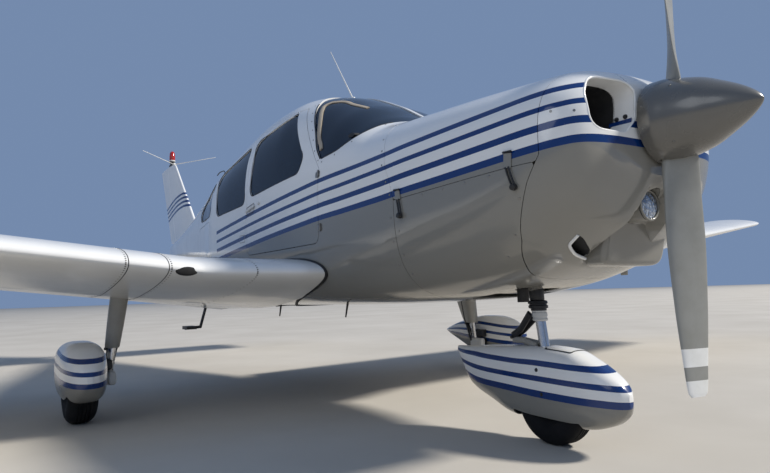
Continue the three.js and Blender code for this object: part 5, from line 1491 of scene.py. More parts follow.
def main_hole(p):
    """Distance outside the wheel's opening and the slot for the axle on the inner side."""
    station, y, z = FRONT - p[..., 0], p[..., 1] - MAIN_FAIRING_Y, p[..., 2]
    slot = np.maximum.reduce([
        np.abs(station - WHEEL["station"]) - AXLE_SLOT["half_length"], y - AXLE_SLOT["y"],
        np.abs(z - AXLE_SLOT["z"]) - AXLE_SLOT["half_height"]])
    return np.minimum(wheel_opening(station, y, z, WHEEL, MAIN_OPENING), slot)


def nose_hole(p):
    """Distance outside the wheel's opening and, on the top, the holes for the leg and the links."""
    station, y, z = FRONT - p[..., 0], p[..., 1], p[..., 2]
    leg = np.hypot(station - LEG_OPENING["station"], y) - LEG_OPENING["radius"]
    top_holes = np.where(z > NOSE_TOP, np.minimum(leg, box_field(p, *LINKS_OPENING)), FAR)
    return np.minimum(wheel_opening(station, y, z, NOSE_WHEEL, NOSE_OPENING), top_holes)


def stripe_band(points, line):
    """Three stripes on a fairing: height above the lowest one's line, stretched to the ramp's pitch."""
    low = smooth(line, 1, FRONT - points[:, 0])
    pitch = smooth(line, 2, FRONT - points[:, 0])
    return in_ramp((points[:, 2] - low) / pitch * STRIPE_PITCH)


def fairing_piece(name, shape, body, node, stripes):
    """A fairing in its striped paint."""
    piece(name, shape, SPAT, "lower_paint", body, [node], 40, band=stripe_band(shape[0], stripes))


# Columns: station, height of the lowest stripe, pitch of the stripes
MAIN_STRIPES = np.array([
    [2.50, 0.222, 0.058], [2.90, 0.254, 0.062], [3.20, 0.280, 0.044], [3.46, 0.297, 0.012]])
NOSE_STRIPES = np.array([
    [0.53, 0.198, 0.058], [0.62, 0.203, 0.060], [0.907, 0.211, 0.062], [1.10, 0.221, 0.058],
    [1.30, 0.228, 0.058],
    [1.46, 0.262, 0.044], [1.52, 0.300, 0.030]])
main_fairing = fairing_sheet(MAIN_FAIRING, MAIN_FAIRING_Y, main_hole)
for side, sign in SIDES:
    shape = on_side_of(sign, main_fairing)
    fairing_piece("fairing_" + side, shape, "airframe", "wheel_fairing_" + side, MAIN_STRIPES)
nose_fairing = fairing_sheet(NOSE_FAIRING, 0.0, nose_hole)
fairing_piece("fairing_nose", nose_fairing, "nose_steer", "nose_fairing", NOSE_STRIPES)

# %% [markdown]
# ## Lines and small fittings
# Rubber seals, trims, hoses and lips are bars bent along a path, and screws are low discs set square
# to the skin. One function makes each kind, so every fitting is only a short list of places.

# %% Bars and studs


def strip(path, wide, thick=None, facing=(0, 0, 1), closed=False, count=8):
    """Ellipse rings along a path. The short half axis points along facing, made square to the path."""
    path = np.asarray(path, float)
    thick = wide if thick is None else thick
    if closed:
        along = np.roll(path, -1, 0) - np.roll(path, 1, 0)
    else:
        along = np.gradient(path, axis=0)
    along = unit(along)
    out = np.broadcast_to(np.asarray(facing, float), path.shape)
    out = unit(out - (out * along).sum(1, keepdims=True) * along)
    across = np.cross(along, out)
    a = 2 * np.pi * (np.arange(count) + 0.5) / count
    ring = path[:, None] + (np.cos(a) * wide)[:, None] * across[:, None]
    ring = ring + (np.sin(a) * thick)[:, None] * out[:, None]
    if not closed:
        return closed_loft(ring)
    faces = grid_quads(len(path) + 1, count, True) % (len(path) * count)
    points = ring.reshape(-1, 3)
    return (points, faces) if volume(points - path.mean(0), faces) > 0 else (points, flipped(faces))


def bent(corners, size=0.02):
    """Points about size apart along a smooth curve through the corners."""
    c = np.asarray(corners, float)
    run = run_along(c)
    at = np.linspace(0, run[-1], max(3, int(run[-1] / size) + 1))
    return np.stack([smooth(np.column_stack([run, c]), k, at) for k in range(1, c.shape[1] + 1)], -1)


def studs(points, normals, radius, height, sides=8):
    """A low disc at each point, square to its normal: a wide ring, a narrower one and two middles."""
    points, normals = np.atleast_2d(points), np.atleast_2d(normals)
    helper = np.where(np.abs(normals[:, :1]) < 0.9, [[1.0, 0, 0]], [[0, 1.0, 0]])
    u = unit(np.cross(normals, helper))
    v = np.cross(normals, u)
    a = full_turn(sides)
    circle = np.cos(a)[None, :, None] * u[:, None] + np.sin(a)[None, :, None] * v[:, None]
    low = points[:, None] - 0.001 * normals[:, None] + circle * radius
    high = points[:, None] + height * normals[:, None] + circle * radius * 0.8
    middles = np.stack([points - 0.001 * normals, points + 1.15 * height * normals], 1)
    made = np.concatenate([low, high, middles], 1)
    k = np.arange(sides)
    after, none = (k + 1) % sides, np.full(sides, -1)
    one = np.vstack([
        np.stack([k, after, after + sides, k + sides], -1),
        np.stack([np.full(sides, 2 * sides), after, k, none], -1),
        np.stack([np.full(sides, 2 * sides + 1), k + sides, after + sides, none], -1)])
    shift = (np.arange(len(points)) * (2 * sides + 2))[:, None, None]
    faces = np.where(one[None] >= 0, one[None] + shift, -1).reshape(-1, 4)
    out = made.reshape(-1, 3)
    return (out, faces) if volume(out[: 2 * sides + 2], one) > 0 else (out, flipped(faces))


def blob(centre, radii, rows=14, count=24):
    """A smooth egg: rings of an ellipsoid along x."""
    a = np.linspace(0.02, np.pi - 0.02, rows)[:, None]
    b = full_turn(count)
    rings = stacked(
        np.cos(a) * radii[0], np.sin(a) * np.cos(b) * radii[1], np.sin(a) * np.sin(b) * radii[2])
    return closed_loft(rings + np.asarray(centre, float))


print("fittings ready")

# %% [markdown]
# ## Cooling inlets, scoop and landing light
# Each inlet is a moulded lip that leads into a duct; the wall beside the spinner is painted. Deeper in,
# the duct's walls and its back plate are near black, painted shade. The small scoop on the right feeds
# the cabin heater, and its duct is painted shade too. The lamp sits in a hollow below the spinner.

# %% Mouths of the bowl
INLET_DUCT, SCOOP_DUCT = {"narrowing": 0.22, "aft": 0.560}, {"narrowing": 0.3, "aft": 0.640}


def bowl_station(y, z):
    """First station whose section holds the point: where the bowl's surface is, seen from ahead."""
    s = np.linspace(BOWL_FRONT, 0.90, 900)[:, None]
    w, bottom, middle, top, up, low = section_values(s)
    reach = np.where(z >= middle, top - middle, middle - bottom)
    e = np.where(z >= middle, up, low)
    level = (np.abs(y) / w) ** e + (np.abs(z - middle) / reach) ** e
    return s[(level <= 1).argmax(0), 0]


def mouth_path(outline):
    """Points of the plain bowl's front, over an outline of (y, z)."""
    return np.column_stack([FRONT - bowl_station(outline[:, 0], outline[:, 1]), outline])


def duct(outline, depths, narrowing, aft, thickness=0.003):
    """A wall from the edge of a mouth to a smaller outline further aft."""
    edge = mouth_path(outline)
    t = np.asarray(depths)[:, None]
    middle = outline.mean(0)
    x = edge[:, 0] * (1 - t) + (FRONT - aft) * t
    y = middle[0] + (edge[:, 1] - middle[0]) * (1 - narrowing * t)
    z = middle[1] + (edge[:, 2] - middle[1]) * (1 - narrowing * t)
    rings = np.stack([x, y, z], -1)
    return thickened(rings.reshape(-1, 3), grid_quads(len(t), len(edge), True), thickness)


def back_of(outline, narrowing, aft):
    """A thin plate that closes a duct."""
    middle = outline.mean(0)
    ring = middle + (outline - middle) * (1 - narrowing + 0.02)
    section = lambda station: stacked(FRONT - station, ring[:, 0], ring[:, 1])
    return run_of(section, (aft - 0.002, aft + 0.004))


throat = duct(INLET, np.linspace(0, 0.42, 8), **INLET_DUCT)
# Deeper in, the duct's walls and its back plate are near black: painted shade.
inlet_shade = together(duct(INLET, np.linspace(0.40, 1, 6), **INLET_DUCT), back_of(INLET, **INLET_DUCT))
piece("inlet_throats", on_both_sides(throat), WING_WHITE, "white_paint", sharp=50)
piece("inlet_ducts", on_both_sides(inlet_shade), DUCT_SHADE, "black_plastic", sharp=50)
inlet_edge = mouth_path(INLET) - [0.0035, 0, 0]
inlet_lip = strip(inlet_edge, 0.005, 0.0045, closed=True, facing=(1, 0, 0.01), count=12)
piece("inlet_lips", on_both_sides(inlet_lip), WING_WHITE, "white_paint", sharp=60)
# The scoop's duct and back plate are near black: painted shade.
scoop_shade = together(duct(SCOOP, np.linspace(0, 1, 5), **SCOOP_DUCT), back_of(SCOOP, **SCOOP_DUCT))
piece("scoop_duct", scoop_shade, DUCT_SHADE, "black_plastic", sharp=50)
scoop_edge = mouth_path(bent(SCOOP_LIP, 0.008))
piece("scoop_lip", strip(scoop_edge, 0.0065, facing=(1, 0, 0.01)), WING_WHITE, "lower_paint", sharp=60)

# %% [markdown]
# ## Landing light and air box
# The lamp is a faceted lens in a can, with a sleeve from the bowl's skin to the can. The air box
# under it is a block with eased edges whose front leans back.

# %% Landing light and air box
LAMP = np.array([FRONT - LIGHT["station"], 0, LIGHT["z"]])
SLEEVE_RADIUS, SLEEVE_AFT, RIM_RADIUS = 0.0588, 0.520, 0.053
AIR_BOX = {"front": 0.534, "back": 0.900, "right": -0.128, "left": 0.245, "bottom": 0.716, "top": 0.935}
RAKE = {"depth": 0.045, "height": 0.2, "end": 0.7}


def turned_x(profile, centre, count=48):
    """A profile of (radius, forward) turned about a line along x."""
    p = np.asarray(profile, float)
    a = full_turn(count)
    rings = stacked(p[:, 1:], p[:, :1] * np.sin(a), p[:, :1] * np.cos(a))
    return closed_loft(rings + np.asarray(centre, float))


def eased_block(front, back, low, high, power=5.0, ease=0.05, rows=20, count=56):
    """Superellipse rings along x that shrink at the front by a quarter round of depth ease."""
    (y0, z0), (y1, z1) = low, high
    a = full_turn(count)
    wide, tall = signed_power(np.cos(a), 2 / power), signed_power(np.sin(a), 2 / power)
    quarter = np.linspace(0, np.pi / 2, rows)
    depth = np.concatenate([ease * (1 - np.cos(quarter)), [back - front]])[:, None]
    inset = np.concatenate([ease * (1 - np.sin(quarter)), [0.0]])[:, None]
    return closed_loft(stacked(
        FRONT - front - depth, (y0 + y1) / 2 + ((y1 - y0) / 2 - inset) * wide,
        (z0 + z1) / 2 + ((z1 - z0) / 2 - inset) * tall))


FACET_STOPS = [(0.0, (0.55, 0.62, 0.72)), (0.6, (0.20, 0.25, 0.34))]
lamp_glass = Finish("lamp_glass")
facets = lamp_glass.node("ShaderNodeTexVoronoi", Scale=95.0)
lamp_glass.link(lamp_glass.place, facets.inputs["Vector"])
lamp_glass.colour(lamp_glass.ramp(facets.outputs["Distance"], FACET_STOPS))
lamp_glass.rough(60, 3, 0.04, 0.16)
lamp_glass.bump(facets.outputs["Distance"], 0.8, 0.004)
lamp_glass.set(Metallic=0.55, Coat_Weight=1.0, Coat_Roughness=0.02)
lens = turned_x([
    (0.0005, 0.016), (0.02, 0.0155), (0.036, 0.0135), (0.047, 0.010), (0.049, 0.004), (0.048, 0.0),
    (0.0005, -0.002)], LAMP)
can = turned_x([
    (0.0005, -0.001), (0.050, -0.001), (0.055, 0.004), (0.057, -0.002), (0.057, -0.118),
    (0.0005, -0.119)], LAMP)
piece("lamp_can", can, GREY, "lower_paint", sharp=50)
around = full_turn(48)
sleeve_outline = np.column_stack([
    -SLEEVE_RADIUS * np.sin(around), LIGHT["z"] + SLEEVE_RADIUS * np.cos(around)])
sleeve_edge = recessed(mouth_path(sleeve_outline))
share = np.linspace(0, 1, 5)[:, None]
sleeve_x = sleeve_edge[:, 0] * (1 - share) + (FRONT - SLEEVE_AFT) * share
sleeve = stacked(sleeve_x, sleeve_edge[:, 1], sleeve_edge[:, 2]).reshape(-1, 3)
piece("lamp_sleeve", thickened(sleeve, grid_quads(5, 48, True), 0.0012), GREY, "lower_paint", sharp=50)
piece("lamp_lens", lens, lamp_glass.material, "lamp_lens", replaces=["landing_light"], sharp=50)
lamp_edge = LAMP + RIM_RADIUS * stacked(0.2, np.sin(around), np.cos(around))
piece("lamp_rim", strip(lamp_edge, 0.0045, facing=(1, 0, 0.01), closed=True), GREY, "lower_paint", sharp=60)
low_corner, high_corner = (AIR_BOX["right"], AIR_BOX["bottom"]), (AIR_BOX["left"], AIR_BOX["top"])
box, box_faces = eased_block(AIR_BOX["front"], AIR_BOX["back"], low_corner, high_corner, 7.0, 0.022)
rise = np.clip((box[:, 2] - AIR_BOX["bottom"]) / RAKE["height"], 0, 1)
rake = RAKE["depth"] * rise * (box[:, 0] > FRONT - RAKE["end"])
box = box + rake[:, None] * [1, 0, 0]
piece("air_box_skin", (box, box_faces), GREY, "lower_paint", replaces=["air_box"], sharp=50)

# %% [markdown]
# ## Latches, screws and seams of the cowling
# The upper cowl is held down by two over-centre latches a side. Machine screws run along the
# panels' edges.

# %% Latches
# (station, z) places along the plate and along the two rods of each latch on the left side
LATCHES = [
    ([[0.611, 1.109], [0.613, 1.085], [0.616, 1.059]], [[0.615, 1.062], [0.606, 1.025], [0.597, 0.991]]),
    ([[1.217, 1.068], [1.213, 1.048], [1.209, 1.029]], [[1.210, 1.032], [1.203, 0.996], [1.198, 0.962]]),
]
BAR_ENDS = np.array([[0.019, 0, 0.004], [-0.019, 0, 0.006]])


def on_side(places, side, lift=0.0, size=0.012):
    """A path on the hull's side through (station, z) places, lifted off it, with its directions."""
    path = bent(places, size)
    point, normal = hull_spot(path[:, 0], path[:, 1], side)
    return point + normal * lift, normal


plates, rods = [], []
for plate_places, rod_places in LATCHES:
    path, normal = on_side(plate_places, 1, 0.003)
    plates.append(strip(path, 0.017, 0.004, normal))
    rods.append(strip(path[0] + BAR_ENDS + normal[0] * 0.003, 0.004, 0.005, normal[0]))
    line, out = on_side(rod_places, 1, 0.007)
    rods += [strip(line + [shift, 0, 0], 0.0035, 0.0035, out) for shift in (-0.007, 0.007)]
    rods.append(studs(line[-1:], out[-1:], 0.013, 0.014, 14))
piece("latch_plates", on_both_sides(together(*plates)), GREY, "lower_paint", sharp=50)
piece("latch_levers", on_both_sides(together(*rods)), BLACK_PART, "black_plastic", sharp=50)

# %% [markdown]
# ## Screws
# Screw heads are low discs laid on the skin. Those on the inlets' inner walls and the short stripe
# beside them follow the wall as it narrows with depth.

# %% Screws
# (station, z) of the screws on the left side of the cowl
COWL_SCREWS = np.array([
    [0.462, 1.227], [0.405, 1.222], [0.590, 0.950], [0.655, 0.832], [0.735, 0.760], [0.700, 1.045],
    [0.820, 1.040], [0.940, 1.035], [1.060, 1.030], [1.225, 0.900], [1.225, 0.800], [1.225, 0.720],
    [1.275, 1.060], [1.300, 1.120], [1.334, 1.200], [1.358, 1.270], [1.398, 1.335], [1.272, 0.960],
    [1.272, 0.860], [1.272, 0.760]])
CHEEK_SCREWS = np.array([[0.430, 1.229], [0.398, 1.233]])
CHEEK_STRIPE = np.array([[0.372, 1.2147], [0.400, 1.2127], [0.422, 1.2112], [0.452, 1.2091]])
CHEEK_FRONT = 0.365
SPINNER_SCREWS, SCREW_STATION, SCREW_RADIUS = 12, 0.329, 0.1482
MIDDLE_ROW = {"ahead": 0.080, "share": 0.93}
spots, normals = hull_spot(COWL_SCREWS[:, 0], COWL_SCREWS[:, 1], 1)
piece("cowl_screws", on_both_sides(studs(spots, normals, 0.0055, 0.0012)), SCREW, "gear_metal")
throat_middle = INLET.mean(0)
inner_side = INLET[INLET[:, 0] > throat_middle[0]]
inner_side = inner_side[np.argsort(inner_side[:, 1])]


def on_cheek(spots, lift):
    """Points on the throat's inner wall: the mouth's outline, drawn in with the depth as the duct is."""
    station, z = spots[:, 0], spots[:, 1]
    size = 1 - INLET_DUCT["narrowing"] * (station - CHEEK_FRONT) / (INLET_DUCT["aft"] - CHEEK_FRONT)
    z_mouth = throat_middle[1] + (z - throat_middle[1]) / size
    y_mouth = np.interp(z_mouth, inner_side[:, 1], inner_side[:, 0])
    return stacked(FRONT - station, throat_middle[0] + (y_mouth - throat_middle[0]) * size - lift, z)


cheek_screws = studs(on_cheek(CHEEK_SCREWS, 0.003), np.array([[0.05, -1.0, 0.0]] * 2), 0.009, 0.003, 10)
piece("cheek_screws", on_both_sides(cheek_screws), BLACK_PART, "gear_metal")
cheek_stripe = strip(on_cheek(bent(CHEEK_STRIPE, 0.01), 0.0022), 0.0105, 0.0026, (0, -0.92, 0.38))
stripe_paint = gloss_paint("stripe_blue", BLUE)
piece("cheek_stripes", on_both_sides(cheek_stripe), stripe_paint, "white_paint", sharp=50)
a = (np.arange(SPINNER_SCREWS) + 0.5) / SPINNER_SCREWS * 2 * np.pi
rim_spots = stacked(FRONT - SCREW_STATION, SCREW_RADIUS * np.sin(a), THRUST_Z + SCREW_RADIUS * np.cos(a))
rim_out = stacked(0, np.sin(a), np.cos(a))
mid_spots = rim_spots * [1, MIDDLE_ROW["share"], 1] + [MIDDLE_ROW["ahead"], 0, 0]
mid_spots[:, 2] = THRUST_Z + (mid_spots[:, 2] - THRUST_Z) * MIDDLE_ROW["share"]
spinner_spots, spinner_out = np.vstack([rim_spots, mid_spots[1::3]]), np.vstack([rim_out, rim_out[1::3]])
spinner_screws = studs(spinner_spots, spinner_out, 0.0045, 0.0012)
piece("spinner_screws", spinner_screws, SCREW, "spinner_paint", "propeller")

# %% [markdown]
# ## Window seals, screen frame and door fittings
# Each pane sits in a dark rubber channel. The windscreen has a lighter trim inside its edge and is
# held along its foot by screws. The door has one lever handle, a lock and two outside hinges.

# %% Seals and fittings of the cabin
# Paths of (station, z) places
FOOT = np.array([[1.618, 1.497], [1.642, 1.450], [1.699, 1.402], [1.784, 1.361], [1.900, 1.344]])
POST = np.array([
    [1.918, 1.345], [1.978, 1.408], [2.052, 1.513], [2.141, 1.617], [2.216, 1.704], [2.258, 1.752]])
TRIM_PATH = np.array([
    [1.940, 1.402], [1.952, 1.424], [1.990, 1.464], [2.092, 1.606], [2.170, 1.700], [2.192, 1.731],
    [2.175, 1.752], [2.139, 1.750], [2.007, 1.699], [1.895, 1.654]])
HANDLE_PATH = [[2.747, 1.208], [2.790, 1.201], [2.830, 1.194], [2.873, 1.186]]
LOCK = np.array([[2.683, 1.215]])
POCKET = rounded([[2.762, 1.176], [2.884, 1.160], [2.884, 1.210], [2.762, 1.228]], 0.010, 3)
STEP_PLATE = rounded([[2.925, 0.997], [3.010, 0.997], [3.010, 1.043], [2.925, 1.043]], 0.006, 3)
HINGES = [(1.917, 1.262), (1.895, 0.985)]
HINGE_HALF = 0.020


def edge_on_hull(line, side):
    """An outline of (station, z) points laid on the hull, without the points above its top."""
    kept = line[line[:, 1] < smooth(SECTIONS, 4, line[:, 0]) - 0.012]
    return hull_spot(kept[:, 0], kept[:, 1], side)


def laid(places, side=1, size=0.0, shift=(0, 0)):
    """Points on the hull and their directions for (station, z) places, along a smooth curve if size is
    given, and shifted."""
    path = bent(places, size) if size else np.asarray(places)
    return hull_spot(*(path + shift).T, side)


for side, sign in SIDES:
    for name, line in WINDOW_LINES.items():
        path, normal = edge_on_hull(line, sign)
        body = "cabin_door" if (name, sign) == DOOR_WINDOW else "airframe"
        seal = strip(path, 0.003, 0.0018, normal, True)
        piece(f"seal_{side}_{name}", seal, SEAL, "black_plastic", body, sharp=60)
screen_seals = []
for places in (FOOT, POST):
    path, normal = laid(places, size=0.02)
    screen_seals.append(strip(path, 0.004, 0.0022, normal))
piece("screen_seal", on_both_sides(together(*screen_seals)), SEAL, "black_plastic", sharp=60)
path, normal = laid(TRIM_PATH, size=0.015)
screen_trim = strip(path - 0.004 * normal, 0.0135, 0.005, normal)
piece("screen_trim", on_both_sides(screen_trim), TRIM, "black_plastic", sharp=60)
screen_screws = []
for places, shift in ((FOOT, [-0.006, -0.020]), (POST, [0.018, -0.006])):
    screen_screws.append(studs(*laid(places, 1, 0.088, shift), 0.005, 0.001))
piece("screen_screws", on_both_sides(together(*screen_screws)), SCREW, "gear_metal")
path, normal = on_side(HANDLE_PATH, -1, 0.010)
handle = together(strip(path, 0.009, 0.0045, normal), studs(*laid(LOCK, -1), 0.011, 0.008, 16))
piece("door_handle", handle, GEAR_WHITE, "aerial_plastic", "cabin_door", sharp=50)
path, normal = laid(POCKET, -1)
pocket = strip(path, 0.0026, 0.0014, normal, True)
piece("handle_pocket", pocket, SEAL, "black_plastic", "cabin_door", sharp=60)
path, normal = laid(STEP_PLATE, -1)
piece("step_plate", strip(path, 0.0022, 0.0012, normal, True), SCREW, "gear_metal", sharp=60)
hinge_shapes = []
for station, z in HINGES:
    leaf_places = [[station - HINGE_HALF, z], [station, z - 0.001], [station + HINGE_HALF, z - 0.002]]
    leaf, out = on_side(leaf_places, -1, 0.002, 0.01)
    pin_places = [[station - 0.006, height] for height in (z + HINGE_HALF, z, z - HINGE_HALF)]
    knuckle, _ = on_side(pin_places, -1, 0.005, 0.01)
    hinge_shapes += [strip(leaf, 0.016, 0.002, out), strip(knuckle, 0.005)]
piece("door_hinges", together(*hinge_shapes), SCREW, "gear_metal", sharp=50)

# %% [markdown]
# ## Seats and instruments
# The cushions are foam in sewn covers: crowned forms with shallow channels, whose sides draw in
# towards the corners, with a piping along each side seam. Dials stand in rows on the panel.

# %% Seats
# Corners of the cushions' side outlines: distance ahead of the seat's station, z and own radius
SEAT_BASE = [(0.030, 0.945, 0.05), (0.026, 0.702, 0.03), (-0.440, 0.702, 0.03), (-0.400, 0.985, 0.05)]
SEAT_BACK = [
    (-0.330, 0.975, 0.05), (-0.470, 0.905, 0.06), (-0.640, 1.400, 0.03), (-0.605, 1.498, 0.04),
    (-0.545, 1.490, 0.05)]
SEATS = [
    # name, station, y of its right and left side, count of channels
    ("cushion_front_left", 2.100, 0.05, 0.44, 4),
    ("cushion_front_right", 2.100, -0.44, -0.05, 4),
    ("cushion_rear", 3.000, -0.425, 0.425, 8),
]


def cushion(outline, low_y, high_y, channels, rows=44):
    """Side outline shrunk toward its middle as t nears the sides by (1 - |t|^5)^(1/5), with channels."""
    middle = outline.mean(0)
    t = np.sin(np.linspace(-1, 1, rows) * math.pi / 2 * 0.985)
    size = (1 - np.abs(t) ** 5) ** 0.2 * (0.975 + 0.025 * np.abs(np.cos(channels * math.pi * t / 2)))
    y = (low_y + high_y) / 2 + (high_y - low_y) / 2 * t
    flat = middle + (outline - middle) * size[:, None, None]
    return closed_loft(stacked(flat[..., 0], y[:, None], flat[..., 1]))


def seat(name, station, low_y, high_y, channels):
    """A bench or chair: seat cushion, back cushion and their piping."""
    base, back = (
        rounded([[FRONT - station + ahead, z, radius] for ahead, z, radius in corners], 0, 6)
        for corners in (SEAT_BASE, SEAT_BACK))
    shape = together(
        cushion(base, low_y, high_y, channels), cushion(back, low_y + 0.01, high_y - 0.01, channels))
    node = name.replace("cushion", "seat")
    piece(name, shape, CLOTH, "seat_cloth", replaces=[node], sharp=60)
    piping = []
    for outline, inner in ((base, 0.030), (back, 0.040)):
        middle = outline.mean(0)
        edge = middle + (outline - middle) * 0.985
        for y in (low_y + inner, high_y - inner):
            path = stacked(edge[:, 0], y, edge[:, 1])
            piping.append(strip(path, 0.005, closed=True, facing=(0, 1, 0), count=6))
    piece(name + "_piping", together(*piping), SEAL, "seat_cloth", sharp=60)


for row in SEATS:
    seat(*row)

# %% [markdown]
# ## Instruments
# Two rows of three dials, a stack of radios and a padded shield above them.

# %% Instruments
PANEL_FACE = FRONT - 1.690
DIALS_Y, DIALS_Z = np.linspace(0.13, 0.39, 3), (1.300, 1.200)
RADIO = {"right": -0.10, "left": 0.06, "height": 0.042, "feet": (1.120, 1.170, 1.220, 1.270)}
# x behind the panel's face, y and z along the shield's edge
SHIELD = [(-0.02, -0.47, 1.43), (-0.03, -0.25, 1.452), (-0.03, 0.25, 1.452), (-0.02, 0.47, 1.43)]
dial_y, dial_z = np.meshgrid(DIALS_Y, DIALS_Z)
dial_spots = stacked(PANEL_FACE, dial_y.ravel(), dial_z.ravel())
backward = np.tile([-1.0, 0, 0], (len(dial_spots), 1))
piece("dial_rims", studs(dial_spots, backward, 0.044, 0.004, 28), DULL_METAL, "panel_plastic")
dial_faces = studs(dial_spots - [0.004, 0, 0], backward, 0.036, 0.002, 28)
piece("dial_faces", dial_faces, BLACK_PART, "panel_plastic")
radios = together(*[
    flat_bar(
        PANEL_FACE - 0.012, PANEL_FACE + 0.004, RADIO["right"], RADIO["left"], z, z + RADIO["height"], 0.003)
    for z in RADIO["feet"]])
piece("radio_stack", radios, BLACK_PART, "panel_plastic")
glare = strip(bent([(PANEL_FACE + ahead, y, z) for ahead, y, z in SHIELD]), 0.03, 0.010)
piece("glare_shield", glare, BLACK_PART, "panel_plastic", sharp=60)

# %% [markdown]
# ## Fittings of the wings
# The wing's skins overlap at two ribs near the fairing, with a row of screws. Black rubber seals the
# root, a small duct opens in the leading edge as a near black egg of painted shade, and the tips
# carry position lamps.

# %% Wing fittings
SEAM_RIBS, ROOT_SCREWS_Y, SCREW_OFFSET = (1.259, 1.438), 0.86, 0.012
WALK_Y, WALK_SHARES = np.linspace(0.66, 0.98, 18), np.linspace(0.18, 0.80, 40)
DUCT_PLACE, DUCT_HALVES = (FRONT - 2.079, 1.177, 0.775), (0.010, 0.054, 0.022)
TIP_LAMP = {"station": 2.600, "y": 5.302, "z": 1.282, "halves": (0.045, 0.020, 0.016)}
LAMP_COLOURS = {"left": (0.35, 0.008, 0.006), "right": (0.004, 0.20, 0.05)}


def foil_path(y, last=0.78, count=40):
    """Points round the leading edge, from a share of the chord above to the same share below."""
    shares = spaced(0, last, count)
    top, low = foil_points(y, *wing_at(y), shares[::-1], True), foil_points(y, *wing_at(y), shares[1:], False)
    path = np.vstack([top, low])
    along = np.gradient(path, axis=0)
    out = unit(np.cross([0, 1.0, 0], along))
    out *= np.sign((out * (path - path.mean(0))).sum(1).mean())
    return path, out


seams = []
for y in SEAM_RIBS:
    path, out = foil_path(y)
    seams.append(strip(path, 0.0022, 0.0011, out))
piece("wing_seams", on_both_sides(together(*seams)), SEAL, "black_plastic", sharp=60)
screw_sets = []
for y in (SEAM_RIBS[0] - SCREW_OFFSET, SEAM_RIBS[1] + SCREW_OFFSET, ROOT_SCREWS_Y):
    screw_sets.append(studs(*foil_path(y, 0.74, 22), 0.0045, 0.0010))
piece("wing_screws", on_both_sides(together(*screw_sets)), SCREW, "gear_metal")
root = foil_path(0.530, 0.985, 60)[0]
root[:, 1] = hull_across(FRONT - root[:, 0], root[:, 2], 1) + 0.004
root_seal = strip(root, 0.009, facing=(0, 1, 0.01))
piece("root_seals", on_both_sides(root_seal), SEAL, "black_plastic", sharp=60)
# The vent's opening is a near black egg on the leading edge: painted shade.
piece("wing_ducts", on_both_sides(blob(DUCT_PLACE, DUCT_HALVES)), DUCT_SHADE, "black_plastic", sharp=60)
walk = np.concatenate([foil_points(y, *wing_at(y), WALK_SHARES, True) + [0, 0, 0.0012] for y in WALK_Y])
walk_quads = grid_quads(len(WALK_Y), len(WALK_SHARES))
walk_points, walk_faces = facing_out(walk, walk_quads, np.array([FRONT - 2.6, 0.8, 0.0]))
grit = plain("walkway_grit", (0.03, 0.03, 0.032), 0.9, vary=0.4, grain=0.002, grain_scale=400)
piece("walkway", mirrored(thickened(walk_points, walk_faces, 0.0010)), grit, "black_plastic", sharp=60)
for side, sign in SIDES:
    name = "tip_lamp_" + side
    lamp_paint = plain(name, LAMP_COLOURS[side], 0.12, vary=0.3, scale=40, Coat_Weight=1.0)
    lamp_place = (FRONT - TIP_LAMP["station"], sign * TIP_LAMP["y"], TIP_LAMP["z"])
    piece(name, blob(lamp_place, TIP_LAMP["halves"]), lamp_paint, "red_lens", sharp=60)

# %% [markdown]
# ## Landing gear
# The nose leg is an oil and air strut: a painted housing, two collars, a bright piston and a pair of
# torque links that keep the fork in line. The main legs stand in streamlined cuffs.

# %% Nose leg
# A place on the leg's axis (station, z), and how far it leans forward for each metre up
LEG_FOOT, LEG_LEAN = (0.952, 0.407), 0.142259
# Profiles of (height, radius) along the leg
HOUSING = [
    (0.590, 0.029), (0.594, 0.031), (0.620, 0.033), (0.680, 0.040), (0.800, 0.042), (0.848, 0.040),
    (0.850, 0.030)]
DARK_COLLAR = [
    (0.546, 0.030), (0.548, 0.033), (0.556, 0.034), (0.558, 0.041), (0.568, 0.042), (0.571, 0.037),
    (0.575, 0.037), (0.578, 0.042), (0.588, 0.041), (0.591, 0.032)]
WHITE_COLLAR = [
    (0.503, 0.025), (0.505, 0.031), (0.511, 0.033), (0.514, 0.030), (0.520, 0.030), (0.523, 0.033),
    (0.538, 0.033), (0.541, 0.030), (0.545, 0.032), (0.551, 0.031), (0.552, 0.026)]
PISTON = [(0.372, 0.024), (0.374, 0.0225), (0.40, 0.0220), (0.508, 0.0220)]
KNEE = np.array([FRONT - 1.120, 0, 0.430])
UPPER_LINK = {
    "z": 0.536, "ahead": -0.026, "middle_z": 0.50, "middle_ahead": -0.06, "y_share": 0.8, "rise": 0.006,
    "half_width": 0.016, "half_y": 0.030}
LOWER_LINK = {
    "z": 0.398, "ahead": -0.022, "middle_z": 0.402, "middle_ahead": -0.05, "y_share": 0.7, "rise": -0.010,
    "half_width": 0.014, "half_y": 0.026}
# Both ends (z, y, ahead) and the radius of the damper's can and rod
DAMPER = [
    ((0.560, 0.036, -0.030), (0.455, 0.040, -0.046), 0.013),
    ((0.460, 0.040, -0.045), (0.400, 0.040, -0.050), 0.006)]
COVER_STATION = 0.838
SPAT_SCREWS = np.array([[FRONT - 0.919, 0.0925, 0.3083], [FRONT - 0.896, 0.0945, 0.2125]])
CROWN = {"z": 0.36, "half_length": 0.030, "half_width": 0.054, "bottom": 0.356, "top": 0.369}
FORK_Y = 0.0745
# Bends of a fork leg below the crown: z, share of the leg's y, and place ahead of the axis
FORK_BENDS = [(0.364, 0.67, 0), (0.343, 0.88, 0), (0.308, 1, 0.008)]


